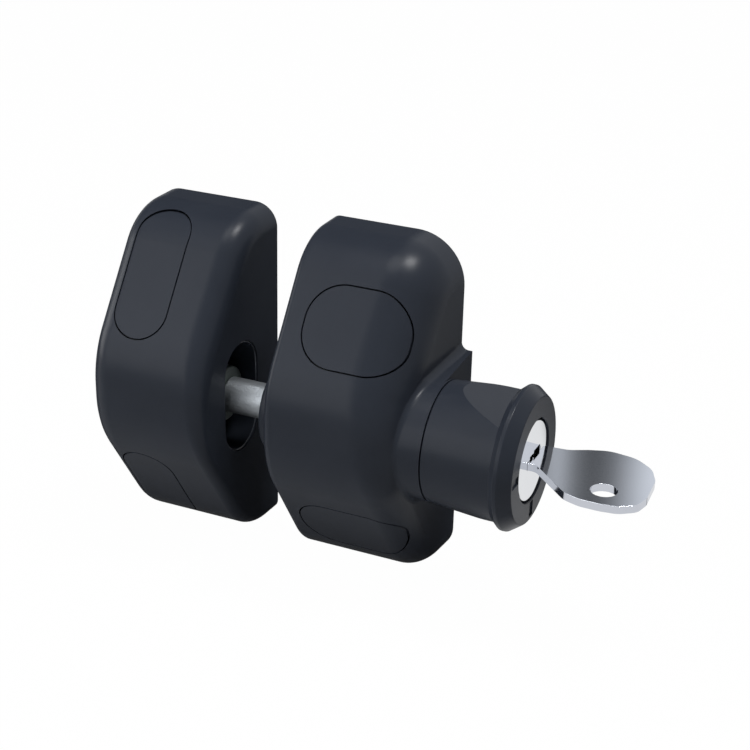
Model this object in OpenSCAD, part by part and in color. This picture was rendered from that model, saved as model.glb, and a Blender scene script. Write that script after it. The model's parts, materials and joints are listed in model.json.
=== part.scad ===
// Magnetic pool gate latch: a striker half for the post and a latch half for the gate.
// Origin: on the mounting plane, behind the bolt pin, in the middle of the latch half.
// X runs along the bolt pin towards the pull knob, Y points into the gate, Z is up.

/* [Body shape of both halves] */
// Height of a body on its mounting plane
body_h = 90.6; // [80:0.1:110]
// How far the middle of a body lies above the bolt pin
body_rise = 2.4; // [0:0.05:6]
// Depth of a body from the mounting plane to its front
body_depth = 40.05; // [37:0.05:48]
// Depth of the flat top and bottom before the slopes start
crown_depth = 16.6; // [14:0.1:20]
// Height of the flat between the two slopes
front_flat = 20.8; // [18:0.1:30]
// How far the middle of that flat lies above the bolt pin
front_rise = 2.85; // [1:0.05:5]
// Radius between the top and a slope
brow_r = 16.5; // [10:0.5:18]
// Radius between a slope and the front
front_r = 28; // [15:0.5:31]
// Draft of the side face with the collar, in degrees
side_draft = 3.7; // [1:0.1:5]
// Draft of the side face with the pocket, in degrees
pocket_draft = 2.2; // [0.5:0.1:5]
// Draft of the left side faces, in degrees
left_draft = 0.3; // [0:0.1:3]
// Draft of the top and bottom, in degrees
face_draft = 2.3; // [0:0.1:4]
// Moulded wall thickness
wall = 2.6; // [2:0.1:3.2]
// Thickness of the back plates
plate_t = 2.4; // [1.8:0.1:3]

/* [Latch half] */
// Width of the latch half on its mounting plane
latch_w = 37.6; // [35:0.1:46]
// Edge radius on the side of the nose
latch_left_r = 2.6; // [1:0.1:5]
// Edge radius on the side of the collar
latch_right_r = 13.2; // [6:0.1:14]
// The same edge radius along the lower half
latch_low_r = 8; // [6:0.1:14]
// Radius of the nose boss
nose_r = 12.4; // [9:0.1:14]
// How far the nose stands out of the side at the mounting plane
nose_out = 5.4; // [4:0.1:8]
// Radius of the collar and of the knob's inner end
collar_r = 15.8; // [15:0.1:18]
// How far the collar stands out of the side at the mounting plane
collar_out = 3.4; // [2:0.1:8]
// Half the height of the collar where it meets the mounting plane
collar_foot = 17.2; // [16:0.1:20]
// Wall of the collar round its bearing
collar_wall = 2.5; // [2:0.1:3]

/* [Striker half] */
// Width of the striker half on its mounting plane
striker_w = 35.6; // [32:0.1:44]
// Edge radius on the outer side
striker_left_r = 6.6; // [3:0.1:9]
// Edge radius on the side of the pocket
striker_right_r = 6.3; // [3:0.1:7]
// The same edge radius along the lower half
striker_low_r = 3.2; // [3:0.1:7]
// Gap between the halves on the mounting plane
half_gap = 15.9; // [12:0.1:20]
// Width of the pocket opening
pocket_w = 16.6; // [16:0.1:19]
// Height of the pocket opening
pocket_h = 31.1; // [26:0.1:36]
// Depth of the pocket's lining from the side face
pocket_depth = 9.4; // [8:0.1:10]
// Wall of the pocket's lining
liner_t = 0.55; // [0.4:0.05:0.8]

/* [Bolt pin] */
// Distance from the mounting plane to the pin's axis
axis_depth = 19; // [18.5:0.1:21]
// Pin diameter
pin_d = 9.5; // [8:0.1:10]
// Travel of the pin and of the knob
stroke = 15.2; // [10:0.1:16]
// Thickness of the pin's head
head_t = 2; // [1.5:0.1:2.5]
// Running clearance on the radius of sliding and turning fits
run_fit = 0.05; // [0.02:0.01:0.08]
// Gap between pieces that are pressed or set into each other
seat_gap = 0.05; // [0.02:0.01:0.1]
// Gap between pieces that move past each other
move_gap = 0.3; // [0.2:0.05:0.4]

/* [Pull knob] */
// Length of the knob from its seam to its front face
knob_l = 23.95; // [22:0.05:30]
// How much the grip flares, as radius over length
flare = 0.08; // [0.02:0.01:0.1]
// Largest radius of the flange
flange_r = 18.56; // [18:0.02:21]
// Length of the flange's chamfer
flange_chamfer = 3.15; // [2:0.05:4]
// Radius of the front face
face_r = 16.3; // [15:0.1:18]
// Width of the marks on the front face
mark_w = 2.4; // [1:0.1:3]
// Depth of the marks on the front face
mark_depth = 0.4; // [0.2:0.1:0.8]
// Length of the whole flange
flange_l = 5.6; // [5:0.1:7]
// Slope of the two grip flats
flat_slope = 0.25; // [0.2:0.001:0.32]
// Wall of the bearing that the stem slides in
guide_t = 1.8; // [1.5:0.1:2.2]
// Wall of the stem
stem_t = 1.9; // [1.5:0.1:2.2]

/* [Lock and key] */
// Radius of the hole in the knob's face
lock_hole_r = 10.8; // [10.4:0.1:11]
// Radius of the bright face of the plug
plug_face_r = 10.3; // [9:0.1:10.5]
// Radius of the plug
plug_r = 7.5; // [6:0.1:8]
// Key thickness
key_t = 2; // [1.6:0.1:2.4]
// Width of the key's blade
blade_w = 7.6; // [7:0.1:9]
// Number of wafers
wafer_count = 5; // [3:1:6]
// Distance from one wafer to the next
wafer_pitch = 3; // [2.5:0.1:3.2]
// How far the lock bolt travels
lock_travel = 3.4; // [3:0.1:3.5]
// Width of the lock bolt's tongue
bolt_tongue = 6; // [5:0.1:7]
// Width of the lock bolt's plate
bolt_plate_w = 11; // [10:0.1:12]

/* [Screw caps] */
// Width of the wide upper cap on the latch half
wide_cap_w = 26.6; // [24:0.1:28]
// Width of the wide lower cap on the latch half
low_cap_w = 29; // [26:0.1:29.4]
// Height of the wide upper cap along its slope
wide_cap_h = 21.4; // [19:0.1:23]
// Height of the wide lower cap along its slope
low_cap_h = 18.4; // [17:0.1:20]
// Width of the tall caps on the striker half
tall_cap_w = 14.9; // [14:0.1:18]
// Height of the tall upper cap along its slope
tall_cap_h = 35.6; // [30:0.1:37]
// Height of the tall lower cap along its slope
tall_low_h = 32; // [28:0.1:33]
// Thickness of a cap
cap_t = 1.8; // [1.4:0.1:2]
// Depth of the screw wells under the caps
well_depth = 8.5; // [7:0.1:9]
// Wall of a screw well
well_wall = 1.6; // [1.2:0.1:2]

/* [Fixing holes] */
// Radius of the fixing holes and half the width of the fixing slots
fixing_r = 2.5; // [2:0.1:2.8]
// Distance between the two fixing holes under a wide cap
fixing_span_x = 15; // [12:0.1:16]
// Height of the fixing holes of the latch half, from lower to upper
fixing_span_z = 55; // [52:0.5:57]
// Height of the fixing slots of the striker half, from lower to upper
slot_span_z = 62; // [58:0.5:64]
// Length of a fixing slot
slot_l = 12; // [8:0.5:13]

/* [Springs] */
// Wire diameter of the knob's return spring
knob_wire = 1; // [0.8:0.1:1.1]
// Turns of the knob's return spring
knob_turns = 5; // [4:1:5]
// Wire diameter of the pin's spring
pin_wire = 0.9; // [0.7:0.1:1]
// Turns of the pin's spring
pin_turns = 3; // [2:1:3]

/* [Hidden] */
$fn = 64;

// Colours of the real pieces
black_plastic = "#2b2f38";
soft_black = "#22252c";
steel = "#b9bdc4";
grey_green = "#6d7672";
bronze = "#a98a52";

// Body: places along X and Z
latch_left = -latch_w / 2;
latch_right = latch_w / 2;
striker_right = latch_left - half_gap;
striker_left = striker_right - striker_w;
striker_mid = (striker_left + striker_right) / 2;
body_top = body_rise + body_h / 2;
body_bottom = body_rise - body_h / 2;
draft = tan(side_draft);
left_lean = tan(left_draft);
pocket_lean = tan(pocket_draft);
front_top = front_rise + front_flat / 2;
front_bottom = front_rise - front_flat / 2;
brow_top = body_top - crown_depth * tan(face_draft);
brow_bottom = body_bottom + crown_depth * tan(face_draft);
slope_run = body_depth - crown_depth;
upper_a = atan2(brow_top - front_top, slope_run);
lower_a = atan2(front_bottom - brow_bottom, slope_run);
eps = 0.01;

// Bolt, nose and collar: places along X
nose_x = latch_left - nose_out;
collar_x = latch_right + collar_out;
pin_r = pin_d / 2;
inner_left = latch_left + left_lean * axis_depth + wall;
bush_flange_t = 1.2;
bush_lip = 2;
catch_x = inner_left + bush_flange_t + 0.5;
catch_t = 3;
catch_spigot = 2;
stem_x = catch_x + catch_t;
guide_r = collar_r - collar_wall;
stem_r = guide_r - guide_t;
stem_bore_r = stem_r - stem_t;
head_r = stem_bore_r - 0.8;
pin_spring_x = stem_x + catch_spigot;
pin_spring_l = pin_wire + pin_turns * (pin_wire + 0.95);
head_x = pin_spring_x + pin_spring_l;
web_x = head_x + head_t + stroke + 0.1;
web_t = 1;
seal_t = 1.3;
guide_l = 8.9;
guide_x = collar_x - seal_t - guide_l;
spring_seat_x = guide_x - 0.6;

// Knob and lock: places along X
knob_x = collar_x + move_gap;
knob_end = knob_x + knob_l;
stem_flange_t = 3;
stem_flange_r = collar_r - 1.3;
bolt_plate_t = 1.7;
bolt_plate_x = web_x + web_t + 0.2;
cam_t = 1.4;
cam_x = bolt_plate_x + bolt_plate_t + move_gap;
cam_r = stem_bore_r - 1.1;
crank_r = 0.9;
barrel_x = cam_x + cam_t + move_gap;
barrel_step_x = knob_x + stem_flange_t + seat_gap;
plug_face_x = knob_end - 0.4;
plug_face_t = 1.65;
barrel_end = plug_face_x - plug_face_t - move_gap;
barrel_tail_r = stem_bore_r - 0.1;
keyway_x = cam_x + cam_t + 4.6;
keyway_gap = 0.15;
blade_tip_x = keyway_x + 0.3;
wafer_x = keyway_x + 3;
wafer_t = 1;
wafer_w = 4.6;
wafer_l = 13.6;
bolt_tip_r = stem_r - 0.9;

// Striker: places along X
side_at_axis = striker_right - pocket_lean * axis_depth;
liner_floor_x = side_at_axis - pocket_depth;
liner_floor_t = 1.2;
cup_r = pocket_w / 2 - seat_gap - liner_t - 0.2;
cup_out = 5.6;
cup_face_x = liner_floor_x + cup_out;
cup_edge = 0.8;
cup_front_t = 0.9;
cup_wall = 1.3;
cup_flange_r = cup_r + 2.1;
cup_flange_t = 1.5;
cup_back_x = liner_floor_x - liner_floor_t - seat_gap - cup_flange_t;
pole_t = 2;
backing_t = 2;
backing_h = 26;
pole_r = cup_r + 1.9;
pin_tip_x = cup_face_x + move_gap;

// Caps and wells
wide_cap_x = 1.3;
wide_cap_s = 19.9;
low_cap_s = 23.8;
tall_cap_x = striker_mid - 5;
tall_cap_s = 24.6;
tall_low_s = 25;
cap_ledge = 1.5;
low_cap_x = 1;
fixing_z = body_rise - 0.4;
slot_z = body_rise - 0.05;
fixing_reach = 24;
slot_wall = 1.9;

// A body's outline in the YZ plane, from the back of the top round the front to the back of the bottom
corners = [[0, body_top], [-crown_depth, brow_top], [-body_depth, front_top],
    [-body_depth, front_bottom], [-crown_depth, brow_bottom], [0, body_bottom]];
corner_r = [0, brow_r, front_r, front_r, brow_r, 0];
corner_steps = [0, 8, 6, 6, 8, 0];

function unit(v) = v / norm(v);
function left_of(v) = [-v[1], v[0]];

// Points of one rounded corner of the outline, moved inwards by inset
function corner_arc(i, inset) =
    let (u = unit(corners[i] - corners[i - 1]), w = unit(corners[i + 1] - corners[i]),
        turn = acos(u * w), r = corner_r[i],
        middle = corners[i] - u * r * tan(turn / 2) + left_of(u) * r,
        start = atan2(-left_of(u)[1], -left_of(u)[0]))
    [for (k = [0:corner_steps[i]])
        let (a = start + turn * k / corner_steps[i]) middle + (r - inset) * [cos(a), sin(a)]];

// The whole outline, moved inwards by inset and closed at the plane y = back
function outline(inset, back) = concat([[back, body_top - inset]],
    [for (i = [1:4]) for (p = corner_arc(i, inset)) p], [[back, body_bottom + inset]]);

// How much of the lower edge radius counts at a point of the outline
function lower_share(i, n) = min(1, max(0, (i / (n - 1) - 0.35) / 0.3));

// One ring of a rounded edge, leaning with the draft: its radius goes from r at the top to q at the bottom
function ring(x, side, r, q, a, inset, lean, back) =
    let (u = outline(inset + r * (1 - sin(a)), back), v = outline(inset + q * (1 - sin(a)), back),
        n = len(u))
    [for (i = [0:n - 1]) let (w = lower_share(i, n), p = (1 - w) * u[i] + w * v[i])
        [x - side * ((1 - w) * r + w * q) * (1 - cos(a)) + side * lean * p[0], p[0], p[1]]];

// Rings of a body from its left face to its right face, with a rounded edge on each side
function body_rings(x0, x1, r0, r1, q1, lean1, inset, n0, n1, back) = concat(
    [for (k = [0:n0]) ring(x0, -1, r0, r0, 90 * k / n0, inset, left_lean, back)],
    [for (k = [0:n1]) ring(x1, 1, r1, q1, 90 - 90 * k / n1, inset, lean1, back)]);

// Skin over a list of closed rings
module skin(rings) {
    n = len(rings[0]);
    m = len(rings);
    sides = [for (j = [0:m - 2]) for (i = [0:n - 1])
        [j * n + i, (j + 1) * n + i, (j + 1) * n + (i + 1) % n, j * n + (i + 1) % n]];
    first = [for (i = [0:n - 1]) i];
    last = [for (i = [0:n - 1]) m * n - 1 - i];
    polyhedron([for (r = rings) for (p = r) p], concat(sides, [first, last]));
}

// The solid shape of a half, made smaller all round by inset and reaching back to y = back
module latch_form(inset = 0, back = 0)
    skin(body_rings(latch_left + inset, latch_right - inset, max(latch_left_r - inset, 1),
        latch_right_r - inset, latch_low_r - inset, draft, inset, 4, 7, back));

module striker_form(inset = 0, back = 0)
    skin(body_rings(striker_left + inset, striker_right - inset, striker_left_r - inset,
        striker_right_r - inset, max(striker_low_r - inset, 0.6), pocket_lean, inset, 5, 5, back));

// Puts a piece that is drawn along Z on the pin's axis, starting at x
module on_axis(x) translate([x, -axis_depth, 0]) rotate([0, 90, 0]) children();

// Puts a piece on a slope: X across, Y up the slope, Z out of it
module on_upper_slope(x, s)
    translate([x, -body_depth, front_top]) rotate([upper_a, 0, 0])
        translate([0, s, 0]) children();

module on_lower_slope(x, s)
    translate([x, -body_depth, front_bottom]) rotate([180 - lower_a, 0, 0])
        translate([0, -s, 0]) children();

// Flat rounded rectangle, centred
module rounded(w, h, r) {
    square([w - 2 * r, h], center = true);
    square([w, h - 2 * r], center = true);
    for (x = [-1, 1], y = [-1, 1])
        translate([x * (w / 2 - r), y * (h / 2 - r)]) circle(r);
}

// A block of that outline from z = low to z = high
module block(w, h, r, low, high) translate([0, 0, low]) linear_extrude(high - low) rounded(w, h, r);

// A cylinder along +Y from y = from to y = to
module along_y(x, z, r, from, to) translate([x, to, z]) rotate([90, 0, 0]) cylinder(r = r, h = to - from);

// A fixing slot along Y: its round ends are above each other
module slot_y(x, z, r, l, from, to) {
    for (s = [-1, 1])
        along_y(x, z + s * (l / 2 - r), r, from, to);
    translate([x - r, from, z - (l / 2 - r)]) cube([2 * r, to - from, l - 2 * r]);
}

// Outline of a back plate: corner radius a on the left, b at the upper right, c at the lower right
module plate_outline(x0, x1, z0, z1, a, b, c) {
    translate([x0 + a, z0]) square([x1 - x0 - a - b, z1 - z0]);
    translate([x0, z0 + a]) square([a + eps, z1 - z0 - 2 * a]);
    translate([x1 - b - eps, z0 + c]) square([b + eps, z1 - z0 - b - c]);
    translate([x1 - b - eps, z0]) square([b - c + eps, c + eps]);
    for (z = [z0 + a, z1 - a]) translate([x0 + a, z]) circle(a);
    translate([x1 - b, z1 - b]) circle(b);
    translate([x1 - c, z0 + c]) circle(c);
}

// Wells and caps of the latch half: [upper or not, x, place on the slope, width, height, corner radius]
latch_caps = [[true, wide_cap_x, wide_cap_s, wide_cap_w, wide_cap_h, 9.5],
    [false, low_cap_x, low_cap_s, low_cap_w, low_cap_h, 8.6]];
striker_caps = [[true, tall_cap_x, tall_cap_s, tall_cap_w, tall_cap_h, tall_cap_w / 2 - eps],
    [false, tall_cap_x, tall_low_s, tall_cap_w, tall_low_h, tall_cap_w / 2 - eps]];

// Upright prism of a cap's outline, grown by more, from z = low to z = high over the slope
module cap_prism(c, more, low, high) {
    if (c[0]) on_upper_slope(c[1], c[2])
        block(c[3] + 2 * more, c[4] + 2 * more, c[5] + more, low, high);
    else on_lower_slope(c[1], c[2])
        block(c[3] + 2 * more, c[4] + 2 * more, c[5] + more, low, high);
}

// The well under a cap is smaller than the cap, which leaves a ledge for it
module well_prism(c, more, low, high) {
    trim = c[0] && c[1] < striker_right ? 2 : 0;
    w = c[3] - 2 * cap_ledge + 2 * more;
    h = c[4] - 2 * cap_ledge - trim + 2 * more;
    r = c[5] - cap_ledge + more;
    if (c[0]) on_upper_slope(c[1], c[2] - trim / 2) block(w, h, r, low, high);
    else on_lower_slope(c[1], c[2]) block(w, h, r, low, high);
}

// Snap legs of a cap: two plates that stand in the well
module cap_legs(c) {
    leg_w = 5;
    leg_t = 1.2;
    off = c[4] / 2 - cap_ledge - leg_t - move_gap - (c[1] < striker_right ? 6 : 1);
    for (s = [-1, 1])
        if (c[0]) on_upper_slope(c[1], c[2])
            translate([-leg_w / 2, s * off - leg_t / 2, -well_depth + 2.2])
                cube([leg_w, leg_t, well_depth - 3.4]);
        else on_lower_slope(c[1], c[2])
            translate([-leg_w / 2, s * off - leg_t / 2, -well_depth + 2.2])
                cube([leg_w, leg_t, well_depth - 3.4]);
}

// Plate screws
latch_screw_at = [[-11, body_top - 6.6], [5.5, body_top - 6.6], [-11, body_bottom + 6.2],
    [5.5, body_bottom + 6.2]];
striker_screw_at = [[striker_right - 8.6, body_top - 9.4], [striker_right - 8.6, body_bottom + 8.6],
    [striker_left + 5.6, body_rise]];
screw_shaft_r = 1.1;
screw_head_r = 2.4;
screw_head_t = 1.7;
screw_rim_t = 0.4;
screw_point_l = 1;
screw_l = 9;
boss_r = 3.1;

module plate_screw(at)
    translate([at[0], -0.2, at[1]]) rotate([90, 0, 0])
        rotate_extrude() polygon([[0, 0], [screw_head_r, 0], [screw_head_r, screw_rim_t],
            [screw_shaft_r, screw_head_t], [screw_shaft_r, screw_l - screw_point_l], [0, screw_l]]);

// The countersunk hole for a plate screw, with room round it
module plate_hole(at) {
    along_y(at[0], at[1], screw_shaft_r + 0.25, -plate_t - 1, 1);
    along_y(at[0], at[1], screw_head_r + 0.25, -0.6, 1);
    translate([at[0], -0.6, at[1]]) rotate([90, 0, 0])
        cylinder(r1 = screw_head_r + 0.25, r2 = screw_shaft_r + 0.25, h = 1.3);
}

module latch_housing() color(black_plastic) difference() {
    union() {
        difference() {
            union() {
                latch_form();
                on_axis(nose_x) rotate_extrude() polygon(nose_profile);
                on_axis(0) cylinder(r = collar_r, h = collar_x);
                collar_foot_block();
            }
            latch_form(wall, 1);
        }
        intersection() {
            latch_form(1);
            union() {
                for (c = latch_caps) well_prism(c, well_wall, -well_depth - well_wall, 5);
                for (x = [-1, 1], z = [-1, 1])
                    along_y(wide_cap_x + x * fixing_span_x / 2, fixing_z + z * fixing_span_z / 2, 4.4,
                        -body_depth, -plate_t - seat_gap);
                for (p = latch_screw_at) along_y(p[0], p[1], boss_r, -body_depth, -plate_t - seat_gap);
            }
        }
        on_axis(spring_seat_x) cylinder(r = collar_r, h = collar_x - spring_seat_x);
        on_axis(nose_x + 2) cylinder(r = nose_r - 3, h = inner_left - nose_x - 2);
    }
    // bores for the bushes, the seal and the pin
    on_axis(inner_left) cylinder(r = nose_flange_r + 0.2, h = 4);
    on_axis(guide_x - 2) cylinder(r = guide_r - 1, h = 3);
    on_axis(guide_x) cylinder(r = guide_r + seat_gap, h = collar_x - guide_x + 1);
    on_axis(nose_x - 1) cylinder(r = pin_r + 0.25, h = 10);
    on_axis(nose_x + bush_lip) cylinder(r = pin_r + 2.1 + seat_gap, h = 20);
    // pocket that the lock bolt shoots into
    translate([bolt_plate_x - 0.3, -axis_depth - 3.4, -stem_r - lock_travel + 0.6])
        cube([bolt_plate_t + 0.6, 6.8, 4]);
    // recesses and wells under the caps
    for (c = latch_caps) {
        difference() {
            cap_prism(c, move_gap, -12, 6);
            latch_form(cap_t + 0.2);
        }
        well_prism(c, 0, -well_depth, 6);
    }
    for (x = [-1, 1], z = [-1, 1]) {
        along_y(wide_cap_x + x * fixing_span_x / 2, fixing_z + z * fixing_span_z / 2, fixing_r,
            -fixing_reach, 1);
    }
    for (p = latch_screw_at) along_y(p[0], p[1], screw_shaft_r + seat_gap, -screw_l - 0.3, 1);
}

nose_flange_r = pin_r + 3.6;
nose_round = 1.2;
nose_profile = concat([[0, 0]],
    [for (k = [0:5]) let (a = 90 * k / 5)
        [nose_r - nose_round + nose_round * sin(a), nose_round - nose_round * cos(a)]],
    [[nose_r + 0.6, nose_out + 3], [0, nose_out + 3]]);

// The collar's foot: from the level of the pin back to the mounting plane, a step short of the collar's end
foot_step = 0.4;
module collar_foot_block() {
    translate([latch_right - 9, 0, 0]) rotate([0, 90, 0])
        linear_extrude(collar_x - latch_right + 9 - foot_step)
            polygon([[-collar_r + 0.1, -axis_depth - 1.4], [-collar_foot, 0], [collar_foot, 0],
                [collar_r - 0.1, -axis_depth - 1.4]]);
}

module latch_back_plate() color(soft_black) difference() {
    rotate([90, 0, 0]) linear_extrude(plate_t)
        plate_outline(latch_left + wall + 0.3, latch_right - wall - 0.3, body_bottom + wall + 0.3,
            body_top - wall - 0.3, 1.2, latch_right_r - wall, latch_low_r - wall);
    for (x = [-1, 1], z = [-1, 1])
        along_y(wide_cap_x + x * fixing_span_x / 2, fixing_z + z * fixing_span_z / 2, fixing_r, -10, 1);
    for (p = latch_screw_at) plate_hole(p);
}

module latch_plate_screws() color(steel) for (p = latch_screw_at) plate_screw(p);

module cap(c) {
    intersection() {
        cap_prism(c, 0, -12, 6);
        if (c[1] > striker_right) difference() {
            latch_form();
            latch_form(cap_t, 1);
        } else difference() {
            striker_form();
            striker_form(cap_t, 1);
        }
    }
    cap_legs(c);
}

module latch_upper_cap() color(black_plastic) cap(latch_caps[0]);
module latch_lower_cap() color(black_plastic) cap(latch_caps[1]);
module striker_upper_cap() color(black_plastic) cap(striker_caps[0]);
module striker_lower_cap() color(black_plastic) cap(striker_caps[1]);

// Bearing of the bolt pin
module nose_bush() color(bronze) on_axis(nose_x + bush_lip + seat_gap) difference() {
    union() {
        cylinder(r = pin_r + 2.1, h = inner_left - nose_x - bush_lip);
        translate([0, 0, inner_left - nose_x - bush_lip])
            cylinder(r = nose_flange_r, h = bush_flange_t - seat_gap);
    }
    translate([0, 0, -1]) cylinder(r = pin_r + run_fit, h = 30);
}

// Bearing of the knob's stem
module collar_bush() color(bronze) difference() {
    on_axis(guide_x) cylinder(r = guide_r, h = guide_l - seat_gap);
    on_axis(guide_x - 1) cylinder(r = stem_r + run_fit, h = guide_l + 2);
    translate([bolt_plate_x - 0.3, -axis_depth - 3.4, -guide_r - 1]) cube([bolt_plate_t + 0.6, 6.8, 4]);
}

module collar_seal() color(soft_black) on_axis(collar_x - seal_t) difference() {
    cylinder(r = guide_r - seat_gap, h = seal_t);
    translate([0, 0, -1]) cylinder(r = stem_r + run_fit, h = seal_t + 2);
}

// A coil spring along Z: one unbroken round wire with a flattened turn at each end
function coil_path(r, l, wire, turns, steps) =
    [for (k = [0:(turns + 1) * steps]) let (t = k / steps, a = 360 * t,
        rise = t < 0.5 ? 0 : t > turns + 0.5 ? turns : t - 0.5)
        [r * cos(a), r * sin(a), wire / 2 + (l - wire) * rise / turns]];

module coil_spring(r, l, wire, turns, steps = 20, sides = 6) {
    path = coil_path(r, l, wire, turns, steps);
    n = len(path);
    pts = [for (k = [0:n - 1]) let (a = 360 * k / steps, out = [cos(a), sin(a), 0])
        for (j = [0:sides - 1]) let (b = 360 * j / sides)
            path[k] + wire / 2 * (out * cos(b) + [0, 0, 1] * sin(b))];
    faces = [for (k = [0:n - 2]) for (j = [0:sides - 1])
        let (a = k * sides + j, b = k * sides + (j + 1) % sides)
        for (f = [[a, b, a + sides], [b, b + sides, a + sides]]) f];
    gap = (l - wire) / turns - wire;
    echo(str("least gap between turns ", gap, " mm"));
    polyhedron(pts, concat(faces, [[for (j = [0:sides - 1]) sides - 1 - j],
        [for (j = [0:sides - 1]) (n - 1) * sides + j]]));
}

module knob_spring() color(steel) on_axis(stem_x)
    coil_spring(stem_r + 0.35 + knob_wire / 2, spring_seat_x - stem_x - seat_gap, knob_wire, knob_turns);

module pin_spring() color(steel) on_axis(pin_spring_x)
    coil_spring(pin_r + 1.9, pin_spring_l, pin_wire, pin_turns);

// The bolt pin with its head, which the catch ring pulls through the spring
module bolt_pin() color(steel) on_axis(pin_tip_x) rotate_extrude()
    polygon([[0, 0], [pin_r - 0.5, 0], [pin_r, 0.5], [pin_r, head_x - pin_tip_x],
        [head_r, head_x - pin_tip_x], [head_r, head_x - pin_tip_x + head_t], [0, head_x - pin_tip_x + head_t]]);

// Knob: half profile as [radius, place along the axis]
flange_x = knob_l - flange_l;
function grip_r(x) = collar_r + flare * x;
knob_profile = [[0, 0], [collar_r - 0.4, 0], [collar_r, 0.4], [grip_r(flange_x), flange_x],
    [flange_r, flange_x + 1.5], [flange_r, knob_l - flange_chamfer], [face_r, knob_l], [0, knob_l]];

module knob_grip() color(black_plastic) difference() {
    on_axis(knob_x) rotate_extrude($fn = 96) polygon(knob_profile);
    on_axis(barrel_step_x) cylinder(r = lock_hole_r, h = knob_l);
    on_axis(knob_x - 1) cylinder(r = stem_flange_r + seat_gap, h = stem_flange_t + 1 + seat_gap);
    // the two grip flats, which end at the flange
    for (s = [0, 180])
        translate([knob_x, -axis_depth, 0]) rotate([s, 0, 0]) rotate([90, 0, 0])
            linear_extrude(4 * collar_r, center = true) polygon([[flange_x, flat_z],
                [flange_x, 2 * collar_r], [-1, 2 * collar_r], [-1, flat_z + flat_slope * (flange_x + 1)]]);
    // two marks that show which way the key turns
    for (a = [90, 182])
        on_axis(knob_end - mark_depth) rotate(a) translate([-mark_w / 2, -15.4, 0]) cube([mark_w, 4.2, 2]);
    for (a = screw_angles) on_axis(knob_x) rotate(a) translate([stem_screw_r, 0, 1])
        cylinder(r = stem_screw_shaft_r + seat_gap, h = stem_screw_l + 0.4, $fn = 24);
}

flat_z = collar_r + 1.6 - flat_slope * flange_x;
screw_angles = [45, 165, 285];
stem_screw_r = (stem_r + stem_flange_r) / 2;
stem_screw_l = 8.6;
stem_screw_head_r = 1.25;
stem_screw_shaft_r = 0.65;

// Stem: a tube with a web behind the pin, a flange that the grip is screwed to, and a slot for the lock bolt
module knob_stem() color(steel) difference() {
    union() {
        on_axis(stem_x) cylinder(r = stem_r, h = knob_x - stem_x + 1);
        on_axis(knob_x) cylinder(r = stem_flange_r, h = stem_flange_t);
    }
    on_axis(stem_x - 1) cylinder(r = stem_bore_r, h = web_x - stem_x + 1);
    on_axis(web_x + web_t) cylinder(r = stem_bore_r, h = 30);
    translate([bolt_plate_x - 0.2, -axis_depth - bolt_tongue / 2 - 0.2, -stem_r - 1])
        cube([bolt_plate_t + 0.4, bolt_tongue + 0.4, 6]);
    for (a = screw_angles) on_axis(knob_x) rotate(a) translate([stem_screw_r, 0, 0]) {
        translate([0, 0, -1]) cylinder(r = 0.95, h = 9, $fn = 24);
        translate([0, 0, -eps]) cylinder(r1 = 1.45, r2 = 0.85, h = 0.7, $fn = 24);
    }
}

module stem_screws() color(steel) for (a = screw_angles) on_axis(knob_x) rotate(a)
    translate([stem_screw_r, 0, 0]) rotate_extrude($fn = 24)
        polygon([[0, seat_gap], [stem_screw_head_r, seat_gap],
            [stem_screw_shaft_r, seat_gap + stem_screw_shaft_r],
            [stem_screw_shaft_r, stem_screw_l - stem_screw_shaft_r], [0, stem_screw_l]]);

// Catch ring: set into the stem's inner end, it carries both springs
module catch_ring() color(steel) on_axis(catch_x) difference() {
    union() {
        cylinder(r = stem_r + 1.5, h = catch_t - seat_gap);
        cylinder(r = stem_bore_r - seat_gap, h = catch_t + catch_spigot - seat_gap);
    }
    translate([0, 0, -1]) cylinder(r = pin_r + 0.35, h = catch_t + catch_spigot + 2);
}

module lock_barrel() color(grey_green) difference() {
    union() {
        on_axis(barrel_x) cylinder(r = barrel_tail_r, h = barrel_step_x + seat_gap - barrel_x + eps);
        on_axis(barrel_step_x + seat_gap)
            cylinder(r = lock_hole_r - seat_gap, h = barrel_end - barrel_step_x - seat_gap);
    }
    on_axis(barrel_x - 1) cylinder(r = plug_r + run_fit, h = barrel_end - barrel_x + 2);
    // channels that the wafers spring into when the key is out
    for (s = [0, 180])
        translate([wafer_x - 1, -axis_depth, 0]) rotate([s, 0, 0])
            translate([0, plug_r - 1.5, -wafer_w / 2 - 0.3])
                cube([wafer_pitch * (wafer_count - 1) + wafer_t + 2, 3, wafer_w + 0.6]);
}

module lock_plug() color(steel) difference() {
    union() {
        on_axis(cam_x + cam_t) cylinder(r = plug_r, h = plug_face_x - plug_face_t - cam_x - cam_t + eps);
        on_axis(plug_face_x - plug_face_t) rotate_extrude($fn = 96)
            polygon([[0, 0], [plug_face_r, 0], [plug_face_r, plug_face_t - 0.25],
                [plug_face_r - 0.25, plug_face_t], [0, plug_face_t]]);
    }
    translate([keyway_x, -axis_depth - blade_w / 2 - keyway_gap, -key_t / 2 - keyway_gap])
        cube([knob_end - keyway_x, blade_w + 2 * keyway_gap, key_t + 2 * keyway_gap]);
    for (i = [0:wafer_count - 1])
        translate([wafer_x + i * wafer_pitch - 0.1, -axis_depth - 10, -wafer_w / 2 - 0.1])
            cube([wafer_t + 0.2, 20, wafer_w + 0.2]);
    on_axis(cam_x) cylinder(r = 0.95, h = cam_t + 3.6, $fn = 24);
}

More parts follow.
